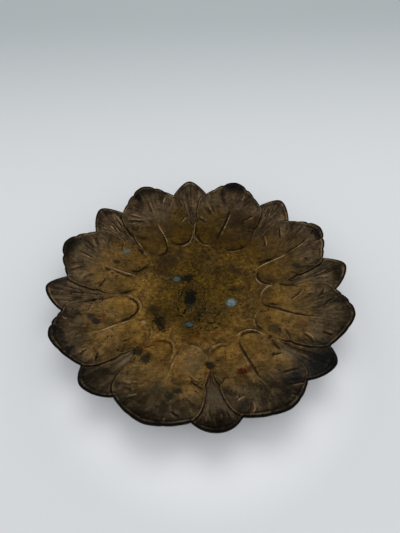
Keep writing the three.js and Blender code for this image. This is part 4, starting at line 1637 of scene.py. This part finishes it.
    def finish(self, colour: Fed, metallic: Fed, roughness: Fed, normal: Socket) -> bpy.types.Material:
        """Feeds the surface shader and hands the material over.

        Args:
            colour: Colour of the surface.
            metallic: How much it reflects as metal.
            roughness: How matt it is.
            normal: Its bumps.

        Returns:
            The material.
        """
        fed = {"Base Color": colour, "Metallic": metallic, "Roughness": roughness, "Normal": normal}
        for name, value in fed.items():
            self.feed(self.shader.inputs[name], value)
        return self.material


@dataclass(frozen=True)
class BrassTones:
    """Colours of old cast brass: golden in the well, grey and dark towards the rim.

    A ring has two of them, for the near and the far side of the dish: the far ones are darker,
    as painted shade. The back is its underside.
    """

    well: tuple[Seen, Seen] = ((56, 41, 9), (44, 31, 5))
    inner: tuple[Seen, Seen] = ((87, 64, 27), (43, 30, 4))
    middle: tuple[Seen, Seen] = ((84, 64, 33), (50, 37, 15))
    outer: tuple[Seen, Seen] = ((66, 54, 37), (63, 51, 35))
    pointed: Seen = (68, 55, 40)
    tip: Seen = (20, 18, 16)
    # Grime, also used as painted shade in creases and dark lines, and for pits.
    dirt_and_shade_tone: Seen = (17, 12, 5)
    # Worn brass, also used as painted highlight on crests and bright lines.
    worn: Seen = (144, 118, 84)
    back: Seen = (58, 46, 26)
    back_dark: Seen = (36, 27, 13)
    crack: Seen = (16, 13, 7)
    # Painted shade on the rim's outer wall and the top of its lip.
    rim: Seen = (8, 7, 6)
    metallic: float = 0.92
    sheen_level: float = 0.2


@dataclass(frozen=True)
class WearAndPaintedLight:
    """Masks of grime and painted shade, rubbing and painted highlight, and pits in the dish."""

    dirt_and_shade: Socket
    worn_and_highlit: Socket
    shade_and_dirt_line: Socket
    highlight_and_wear_line: Socket
    pitted: Socket


class CastSkin:
    """The brown skin of the cast dish, laid on step by step.

    Places are in metres, as the sheet gives them, and shares of the way out to the rim run
    from 0 to 1.
    """

    def __init__(self, tones: BrassTones) -> None:
        """Sets out the clouds, masks and chased lines that several steps share.

        Args:
            tones: The colours of the brass.
        """
        sheet = NodeSheet("aged_cast_brass")
        self.sheet = sheet
        self.tones = tones
        self.x, self.y, _ = sheet.split(sheet.place)
        self.broad = sheet.cloud(34.0, 3.0, 0.6)
        self.medium = sheet.cloud(11.0, 4.0, 0.6)
        self.fine = sheet.cloud(3.2, 4.0, 0.62)
        self.grit = sheet.cloud(1.1, 3.0, 0.65)
        self.speckle = sheet.rise(self.fine, 0.36, 0.66, 0.76, 1.22)
        self.gritty = sheet.rise(self.grit, 0.36, 0.66, 0.84, 1.15)
        self.outwards = sheet.mask("outwards")
        self.pointed = sheet.mask("pointed")
        self.face = sheet.mask("face")
        wander = sheet.times(sheet.minus(self.broad, 0.5), 0.05)
        self.reach = sheet.plus(sheet.length(sheet.join(self.x, self.y, 0.0)), wander)
        self.away = sheet.plus(self.y, sheet.times(self.x, 0.22))
        # Rises towards the far side of the dish, whose darker ring tones are painted shade.
        self.far = sheet.rise(sheet.plus(self.away, sheet.times(wander, 0.8)), -0.03, 0.075)
        fan = sheet.mask("fan")
        along = sheet.times(self.outwards, 0.006)
        self.chased = sheet.cloud(1.0, 2.0, 0.5, sheet.join(sheet.times(fan, 0.022), along, 0.0))
        self.pleats = sheet.cloud(1.0, 2.0, 0.55, sheet.join(sheet.times(fan, 0.008), along, 0.004))
        on_leaf = sheet.rise(self.outwards, 0.62, 0.78)
        self.worked = sheet.times(on_leaf, sheet.rise(self.pointed, 0.0, 1.0, 0.6, 1.0))
        self.pleated = sheet.times(on_leaf, sheet.rise(self.pointed, 0.0, 1.0, 0.5, 1.0))

    def over(self, colour: Socket, share: Fed, tone: Seen) -> Socket:
        """Lays a tone over a colour."""
        return self.sheet.blend(share, colour, shade(*tone))

    def band(self, start: float, full: float, fading: float, end: float) -> Socket:
        """Gives a band round the dish, between shares of the way out to the rim."""
        inside = self.sheet.rise(self.outwards, start, full)
        return self.sheet.times(inside, self.sheet.rise(self.outwards, end, fading))

    def zones(self) -> Socket:
        """Lays the colours of the rings, from the well out to the leaves' ends.

        Returns:
            The colour.
        """
        sheet = self.sheet
        tones = self.tones
        # Each ring goes from its near tone to its darker far tone, which is painted shade.
        colour = sheet.blend(self.far, *(shade(*tone) for tone in tones.well))
        rings = ((tones.inner, 0.03, 0.056), (tones.middle, 0.066, 0.086), (tones.outer, 0.088, 0.108))
        for ring, start, full in rings:
            tone = sheet.blend(self.far, *(shade(*side) for side in ring))
            colour = sheet.blend(sheet.rise(self.reach, start, full), colour, tone)
        colour = self.over(colour, sheet.times(self.pointed, 0.6), tones.pointed)
        shadowed = sheet.times(sheet.rise(self.broad, 0.52, 0.66), sheet.rise(self.reach, 0.11, 0.07))
        return self.over(colour, sheet.times(shadowed, 0.5), tones.back_dark)

    def mottled(self, colour: Socket) -> Socket:
        """Makes a colour lighter and darker from place to place, as old skin is.

        Args:
            colour: The colour of the rings.

        Returns:
            The colour with mottle, streaks, specks and stripes along the chasing.
        """
        sheet = self.sheet
        mottle = sheet.rise(self.medium, 0.38, 0.64, 0.66, 1.44)
        streaks = sheet.cloud(1.3, 3.0, 0.6, sheet.join(sheet.times(self.x, 0.1), self.y, 0.0))
        streaky = sheet.rise(streaks, 0.38, 0.64, 0.9, 1.12)
        crisp = sheet.rise(self.away, -0.04, 0.025, 0.6, 1.0)
        in_well = sheet.times(sheet.rise(self.reach, 0.064, 0.05), crisp)
        specks = sheet.times(self.gritty, self.speckle)
        close = sheet.maths("POWER", specks, sheet.plus(in_well, 1.0))
        close = sheet.times(close, sheet.plus(sheet.times(in_well, 0.14), 1.0))
        gain = sheet.times(sheet.times(mottle, streaky), close)
        chasing = sheet.times(sheet.rise(self.chased, 0.38, 0.64, -0.24, 0.26), self.worked)
        pleating = sheet.times(sheet.rise(self.pleats, 0.38, 0.62, -0.2, 0.2), self.pleated)
        gain = sheet.times(gain, sheet.plus(sheet.plus(chasing, pleating), 1.0))
        return sheet.blend(1.0, colour, sheet.join(gain, gain, gain), "MULTIPLY")

    def tipped(self, colour: Socket) -> Socket:
        """Darkens the tips of the leaves, most at the front of the dish.

        Args:
            colour: The colour so far.

        Returns:
            The colour with dark tips, scratched and flecked.
        """
        sheet = self.sheet
        ragged = sheet.times(sheet.minus(self.medium, 0.5), 0.12)
        tips = sheet.rise(sheet.plus(self.outwards, ragged), 0.88, 1.0)
        at_tips = sheet.times(tips, sheet.rise(self.far, 1.0, 0.0, 0.1, 0.6))
        scratches = sheet.plus(self.chased, sheet.minus(self.fine, 0.5))
        scratched = sheet.rise(scratches, 0.5, 0.64, 1.0, 0.45)
        colour = self.over(colour, sheet.times(at_tips, scratched), self.tones.tip)
        flecks = sheet.times(at_tips, sheet.rise(self.grit, 0.55, 0.66, 0.0, 0.5))
        return self.over(colour, flecks, self.tones.pointed)

    def thin_line(self, name: str, half_width: float) -> Socket:
        """Draws the thin lines whose distances the mesh carries.

        Args:
            name: Name of the lines.
            half_width: Half their width in millimetres.

        Returns:
            A mask of the lines.
        """
        sheet = self.sheet
        distance, strength, _ = sheet.three_masks(name)
        away = sheet.plus(sheet.maths("ABSOLUTE", distance), sheet.minus(self.fine, 0.5))
        return sheet.times(sheet.rise(away, half_width, 0.25 * half_width), strength)

    def wear_and_light(self) -> WearAndPaintedLight:
        """Works out where grime and painted shade lie, and rubbing and painted highlight.

        Returns:
            The masks of both, of the thin lines and of the pits.
        """
        sheet = self.sheet
        wear_and_highlight_patches = sheet.rise(sheet.cloud(7.0, 3.0, 0.6), 0.4, 0.64, 0.06, 1.0)
        # Painted shade: a dark line at the foot of the rim's lip.
        painted_lip_foot_shade = sheet.rise(sheet.cloud(9.0, 3.0, 0.6), 0.42, 0.6, 0.05, 0.65)
        painted_lip_foot_shade = sheet.times(self.band(0.955, 0.966, 0.972, 0.98), painted_lip_foot_shade)
        # A bright line along the lip: worn brass and painted highlight.
        lip_wear_and_highlight = sheet.rise(self.medium, 0.46, 0.6, 0.05, 0.6)
        lip_wear_and_highlight = sheet.times(self.band(0.975, 0.981, 0.986, 0.99), lip_wear_and_highlight)
        highlight_and_wear_line = sheet.times(self.thin_line("highlight_and_wear_lines", 0.8), wear_and_highlight_patches)
        pits = sheet.rise(sheet.grain(3.4), 0.24, 0.14)
        return WearAndPaintedLight(
            dirt_and_shade=sheet.times(sheet.mask("crease"), sheet.rise(self.fine, 0.25, 0.6, 0.5, 1.0)),
            worn_and_highlit=sheet.times(sheet.mask("crest"), wear_and_highlight_patches),
            shade_and_dirt_line=sheet.larger(self.thin_line("shade_and_dirt_lines", 0.75), painted_lip_foot_shade),
            highlight_and_wear_line=sheet.larger(highlight_and_wear_line, lip_wear_and_highlight),
            pitted=sheet.times(pits, sheet.rise(sheet.cloud(6.0, 2.0), 0.5, 0.58)),
        )

    def cracks(self) -> Socket:
        """Draws the dark hairlines of tarnish: rings about the middle blot, and creeping ones.

        Returns:
            A mask of the lines.
        """
        sheet = self.sheet
        blot = sheet.from_spot((-9.0, -5.0, 8.0), 80.0, (14.0, 10.0, SPOT_DEPTH))
        wander = sheet.cloud(9.0, 1.5, 0.5)
        wave = sheet.plus(blot, sheet.times(wander, 1.3))
        rings = sheet.rise(sheet.maths("PINGPONG", wave, 0.1), 0.05, 0.022)
        about = sheet.times(sheet.rise(blot, 1.75, 1.4), sheet.rise(blot, 0.7, 0.85))
        rings = sheet.times(rings, about)
        first = sheet.maths("ABSOLUTE", sheet.minus(wander, 0.5))
        second = sheet.maths("ABSOLUTE", sheet.minus(sheet.cloud(6.0, 1.5, 0.5), 0.52))
        creeping = sheet.rise(sheet.maths("MINIMUM", first, second), 0.036, 0.016)
        front = sheet.from_spot((4.0, -26.0, 8.0), 90.0, (13.0, 12.0, SPOT_DEPTH))
        creeping = sheet.times(creeping, sheet.rise(front, 1.15, 0.85))
        patchy = sheet.rise(sheet.cloud(5.0, 2.0), 0.36, 0.44)
        return sheet.times(sheet.larger(rings, creeping), patchy)

    def worn(self, colour: Socket, wear_and_light: WearAndPaintedLight) -> Socket:
        """Lays grime and painted shade, rubbing and painted highlight, pits and cracks over a colour.

        Args:
            colour: The colour so far.
            wear_and_light: Where they lie.

        Returns:
            The colour with them.
        """
        tones = self.tones
        # Grime with painted shade, rubbing with painted highlight, the thin lines of both, and pits.
        laid = (
            (wear_and_light.dirt_and_shade, 0.5, tones.dirt_and_shade_tone),
            (wear_and_light.worn_and_highlit, 0.36, tones.worn),
            (wear_and_light.shade_and_dirt_line, 0.85, tones.dirt_and_shade_tone),
            (wear_and_light.highlight_and_wear_line, 0.62, tones.worn),
            (wear_and_light.pitted, 0.85, tones.dirt_and_shade_tone),
        )
        for mask, strength, tone in laid:
            colour = self.over(colour, self.sheet.times(mask, strength), tone)
        return self.over(colour, self.cracks(), tones.crack)

    def stained(self, stain: Stain, ragged: Socket) -> Socket:
        """Lays the marks of one stain, those on the leaves and those in the well.

        Args:
            stain: The stain.
            ragged: A fine cloud about 0, which frays the edges.

        Returns:
            How much the stain hides.
        """
        sheet = self.sheet
        level, fray, strength = sheet.three_masks(stain.name.lower())
        frayed = sheet.minus(level, sheet.times(ragged, fray))
        hidden = sheet.times(sheet.rise(frayed, -FRINGE, 1.0), strength)
        for mark in MARKS:
            if mark.stain is stain and mark.in_well:
                middle = (mark.x, mark.y, WELL_MARK_HEIGHT)
                spot = sheet.from_spot(middle, mark.turn, (mark.length, mark.width, SPOT_DEPTH))
                edge = sheet.plus(spot, sheet.times(ragged, FRAY * mark.ragged))
                outer = 1.0 + FRINGE * mark.softness
                inside = sheet.rise(edge, outer, 1.0 - mark.softness, 0.0, mark.strength)
                hidden = sheet.larger(hidden, sheet.times(inside, self.face))
        return hidden

    def backing(self) -> Socket:
        """Gives the colour of the back, as it came from the mould.

        Returns:
            The colour.
        """
        sheet = self.sheet
        colour = self.over(shade(*self.tones.back), sheet.rise(self.medium, 0.3, 0.7), self.tones.back_dark)
        cast = sheet.times(self.speckle, self.gritty)
        return sheet.blend(1.0, colour, sheet.join(cast, cast, cast), "MULTIPLY")

    def bumps(self, wear_and_light: WearAndPaintedLight, crust: Fed) -> Socket:
        """Gives the bumps: pleats and chased lines, pits, grit and crusts of corrosion.

        Args:
            wear_and_light: Where the lines and pits lie.
            crust: Where crusts lie.

        Returns:
            The bumped normal.
        """
        sheet = self.sheet
        chasing = sheet.times(self.chased, sheet.times(self.worked, self.face))
        pleating = sheet.times(self.pleats, sheet.times(self.pleated, self.face))
        crusty = sheet.times(crust, sheet.cloud(1.1, 3.0, 0.7))
        normal = sheet.bump(chasing, 0.4)
        normal = sheet.bump(pleating, 0.7, normal)
        normal = sheet.bump(sheet.minus(wear_and_light.highlight_and_wear_line, wear_and_light.shade_and_dirt_line), 0.16, normal)
        normal = sheet.bump(sheet.minus(self.fine, wear_and_light.pitted), 0.16, normal)
        normal = sheet.bump(self.grit, 0.07, normal)
        return sheet.bump(crusty, 0.4, normal)

    def make(self) -> bpy.types.Material:
        """Lays all the steps over each other.

        Returns:
            The material of the dish.
        """
        sheet = self.sheet
        wear_and_light = self.wear_and_light()
        colour = self.worn(self.tipped(self.mottled(self.zones())), wear_and_light)
        metal: Fed = self.tones.metallic
        rough = sheet.rise(self.medium, 0.35, 0.66, 0.34, 0.5)
        rough = sheet.minus(rough, sheet.times(wear_and_light.worn_and_highlit, 0.08))
        rough = sheet.plus(rough, sheet.times(wear_and_light.dirt_and_shade, 0.15))
        crust: Fed = 0.0
        ragged = sheet.minus(sheet.cloud(2.4, 4.0, 0.68), 0.5)
        rubbed_through = sheet.rise(self.grit, 0.34, 0.5, 0.7, 1.0)
        for stain in Stain:
            hidden = self.stained(stain, ragged)
            if stain.crusted:
                crust = sheet.larger(crust, hidden)
            else:
                hidden = sheet.times(hidden, rubbed_through)
            colour = self.over(colour, hidden, stain.seen)
            metal = sheet.between(metal, stain.metal, hidden)
            rough = sheet.between(rough, stain.roughness, hidden)
        colour = sheet.blend(self.face, self.backing(), colour)
        # Painted shade on the rim's outer wall and the top of its lip.
        rim = sheet.rise(self.outwards, 0.988, 0.995, 0.0, 0.96)
        colour = self.over(colour, rim, self.tones.rim)
        sheet.shader.inputs["Specular IOR Level"].default_value = self.tones.sheen_level
        return sheet.finish(colour, metal, rough, self.bumps(wear_and_light, crust))


@dataclass(frozen=True)
class TurnedBrass:
    """Brass from the lathe, with fine rings from the tool and a thin brown skin."""

    bright: Seen = (104, 84, 44)
    dull: Seen = (66, 50, 24)
    worn: Seen = (140, 118, 72)
    pit: Seen = (30, 22, 10)
    metallic: float = 0.85

    def make(self) -> bpy.types.Material:
        """Makes the material of the foot ring.

        Returns:
            The material.
        """
        sheet = NodeSheet("turned_brass")
        x, y, z = sheet.split(sheet.place)
        radius = sheet.length(sheet.join(x, y, 0.0))
        clouds = sheet.cloud(9.0, 4.0, 0.6)
        fine = sheet.cloud(2.2, 3.0, 0.6)
        colour = sheet.blend(sheet.rise(clouds, 0.35, 0.65), shade(*self.bright), shade(*self.dull))
        rings = sheet.cloud(0.9, 2.0, 0.6, sheet.join(radius, z, 0.0))
        colour = sheet.blend(sheet.rise(rings, 0.5, 0.75, 0.0, 0.35), colour, shade(*self.dull))
        on_land = sheet.rise(z, 0.0009, 0.0001)
        colour = sheet.blend(sheet.times(on_land, 0.6), colour, shade(*self.worn))
        pits = sheet.rise(fine, 0.62, 0.74)
        colour = sheet.blend(sheet.times(pits, 0.6), colour, shade(*self.pit))
        rough = sheet.rise(clouds, 0.3, 0.7, 0.32, 0.52)
        normal = sheet.bump(fine, 0.05, sheet.bump(rings, 0.08))
        return sheet.finish(colour, self.metallic, rough, normal)


@dataclass(frozen=True)
class Corrosion:
    """Blue-green corrosion over a rivet, thick in the middle and thin at its edge."""

    length: float
    width: float
    turn: float
    pale: Seen
    deep: Seen
    brass: Seen = (50, 37, 11)
    edge: Seen = (22, 20, 10)
    height: float = 7.0
    metallic: float = 0.9

    def make(self, rivet: Rivet) -> bpy.types.Material:
        """Makes the material of a rivet.

        Args:
            rivet: The rivet that it grows on.

        Returns:
            The material.
        """
        sheet = NodeSheet(rivet.node + "_corrosion")
        clouds = sheet.cloud(1.8, 4.0, 0.65)
        grain = sheet.cloud(0.8, 3.0, 0.7)
        colour = sheet.blend(sheet.rise(clouds, 0.4, 0.6), shade(*self.deep), shade(*self.pale))
        colour = sheet.blend(sheet.rise(grain, 0.52, 0.66, 0.0, 0.8), colour, shade(*self.deep))
        size = (self.length, self.width, SPOT_DEPTH)
        near = sheet.from_spot((*rivet.place, self.height), self.turn, size)
        near = sheet.plus(near, sheet.times(sheet.minus(clouds, 0.5), 1.3))
        thinning = sheet.rise(near, 0.85, 1.0)
        colour = sheet.blend(thinning, colour, shade(*self.edge))
        bare = sheet.rise(near, 1.1, 1.3)
        colour = sheet.blend(bare, colour, shade(*self.brass))
        metal = sheet.times(thinning, self.metallic)
        normal = sheet.bump(sheet.plus(clouds, sheet.times(grain, 0.5)), 0.35)
        return sheet.finish(colour, metal, sheet.rise(bare, 0.0, 1.0, 0.88, 0.55), normal)


# The studio


@dataclass(frozen=True)
class Studio:
    """Pale paper under and behind the dish, soft light from above, and the camera.

    The camera's place is in millimetres and its angles in degrees, and the rest in metres.
    """

    camera_place: Triple = (-21.59, -192.45, 288.66)
    camera_rise: float = 51.5055
    camera_turn: float = -6.2636
    camera_roll: float = 1.2135
    lens: float = 26.0
    sensor: float = 36.0
    paper_size: float = 6.0
    paper_near: Seen = (216, 218, 220)
    # Painted shade: the paper darkens towards the back.
    paper_shaded_far: Seen = (170, 176, 178)
    # Painted light: the paper is lighter round the dish, which lifts the dish's shadow.
    paper_lit_under_dish: Seen = (233, 234, 236)
    paper_roughness: float = 0.9
    curve_steps: int = 8
    curve_step: float = 0.18
    curve_lead: float = 5.6
    back_height: float = 2.5
    lamp_size: Point = (1.1, 0.8)
    lamp_power: float = 5.0
    lamp_tint: Triple = (1.0, 0.985, 0.96)
    lamp_place: Triple = (0.12, 0.62, 1.3)
    air_tint: Linear = (0.96, 0.98, 1.0, 1.0)
    air_strength: float = 0.868

    def camera(self) -> None:
        """Stands the camera at the viewing angle and makes it the scene's."""
        turn = math.radians(self.camera_turn)
        rise = math.radians(self.camera_rise)
        roll = math.radians(self.camera_roll)
        back = Vector((
            math.sin(turn) * math.cos(rise), -math.cos(turn) * math.cos(rise), math.sin(rise)
        ))
        right = (-back).cross(Vector((0.0, 0.0, 1.0))).normalized()
        up = right.cross(-back)
        side = right * math.cos(roll) + up * math.sin(roll)
        top = up * math.cos(roll) - right * math.sin(roll)
        stand = Matrix((side, top, back)).transposed().to_4x4()
        stand.translation = Vector(self.camera_place) * MM
        lens = bpy.data.cameras.new("camera")
        lens.lens = self.lens
        lens.sensor_width = self.sensor
        lens.clip_start = 0.01
        camera = bpy.data.objects.new("camera", lens)
        camera.matrix_world = stand
        bpy.context.collection.objects.link(camera)
        bpy.context.scene.camera = camera

    def paper_finish(self) -> bpy.types.Material:
        """Makes the paper's finish: painted shade towards the back, and painted light round the dish.

        Returns:
            The material.
        """
        sheet = NodeSheet("pale_paper")
        across, away, up = sheet.split(sheet.place)
        # Painted shade: darker paper towards the back.
        backwards = sheet.rise(away, 0.05, 0.7)
        colour = sheet.blend(backwards, shade(*self.paper_near), shade(*self.paper_shaded_far))
        # Painted light: a pale pool on the paper round the dish, which lightens its shadow.
        from_dish = sheet.length(sheet.join(across, sheet.plus(away, 0.035), up))
        under = sheet.rise(from_dish, 0.145, 0.105)
        colour = sheet.blend(under, colour, shade(*self.paper_lit_under_dish))
        return sheet.finish(colour, 0.0, self.paper_roughness, sheet.bump(sheet.cloud(2.0), 0.01))

    def paper(self) -> None:
        """Lays the paper on the table and curves it up behind."""
        start_fresh()
        bpy.ops.mesh.primitive_plane_add(size=self.paper_size, location=(0.0, 0.0, 0.0))
        paper = bpy.context.object
        paper.name = "paper"
        bpy.ops.object.mode_set(mode="EDIT")
        bpy.ops.mesh.select_mode(type="EDGE")
        bpy.ops.mesh.select_all(action="DESELECT")
        bpy.ops.object.mode_set(mode="OBJECT")
        for edge in paper.data.edges:
            ends = [paper.data.vertices[i].co.y for i in edge.vertices]
            edge.select = min(ends) > 0.0
        bpy.ops.object.mode_set(mode="EDIT")
        for step in range(1, self.curve_steps + 1):
            turn = math.radians(step * 90.0 / self.curve_steps - self.curve_lead)
            move = (0.0, self.curve_step * math.cos(turn), self.curve_step * math.sin(turn))
            bpy.ops.mesh.extrude_edges_move(TRANSFORM_OT_translate={"value": move})
        rise = (0.0, 0.0, self.back_height)
        bpy.ops.mesh.extrude_edges_move(TRANSFORM_OT_translate={"value": rise})
        bpy.ops.object.mode_set(mode="OBJECT")
        bpy.ops.object.shade_smooth()
        paper.data.materials.append(self.paper_finish())

    def lights(self) -> None:
        """Hangs a large soft lamp above and behind, and fills the room with a pale light."""
        lamp = bpy.data.lights.new("window", "AREA")
        lamp.shape = "RECTANGLE"
        lamp.size, lamp.size_y = self.lamp_size
        lamp.energy = self.lamp_power
        lamp.color = self.lamp_tint
        stand = bpy.data.objects.new("window", lamp)
        stand.location = self.lamp_place
        stand.rotation_euler = (-stand.location).to_track_quat("-Z", "Y").to_euler()
        bpy.context.collection.objects.link(stand)
        world = bpy.data.worlds.new("room")
        world.use_nodes = True
        air = world.node_tree.nodes["Background"]
        air.inputs["Color"].default_value = self.air_tint
        air.inputs["Strength"].default_value = self.air_strength
        bpy.context.scene.world = world
        bpy.context.scene.view_settings.view_transform = "Standard"

    def build(self) -> None:
        """Sets up the camera, the paper and the lights."""
        self.camera()
        self.paper()
        self.lights()


# The whole dish


def dress(piece: bpy.types.Object, material: bpy.types.Material, node: str) -> None:
    """Gives a piece its finish and its place in the assembly.

    Args:
        piece: The finished piece.
        material: Its finish.
        node: The CAD node that it stands for.
    """
    piece.data.materials.clear()
    piece.data.materials.append(material)
    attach(piece, "root")
    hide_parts(node)
    piece.data.calc_loop_triangles()
    log.info("%s: %d triangles for %s", piece.name, len(piece.data.loop_triangles), node)


def main() -> None:
    """Builds the studio, then the dish, its foot and its rivets."""
    logging.basicConfig(level=logging.INFO, format="%(name)s: %(message)s")
    Studio().build()
    dress(DishCasting().build(), CastSkin(BrassTones()).make(), "dish")
    dress(FootRing().build(), TurnedBrass().make(), "foot_ring")
    rivets = {
        Rivet("rivet_left", radius=26.2, bearing=138.7): Corrosion(
            length=3.7, width=3.1, turn=10.0, pale=(64, 78, 72), deep=(28, 36, 30)
        ),
        Rivet("rivet_right", radius=28.8, bearing=-24.4): Corrosion(
            length=4.6, width=4.4, turn=0.0, pale=(112, 126, 124), deep=(62, 72, 66)
        ),
        Rivet("rivet_front", radius=32.7, bearing=-111.0): Corrosion(
            length=3.6, width=2.7, turn=-15.0, pale=(60, 70, 66), deep=(26, 32, 28)
        ),
    }
    for rivet, corrosion in rivets.items():
        dress(rivet.build(), corrosion.make(rivet), rivet.node)


if __name__ == "__main__":
    main()
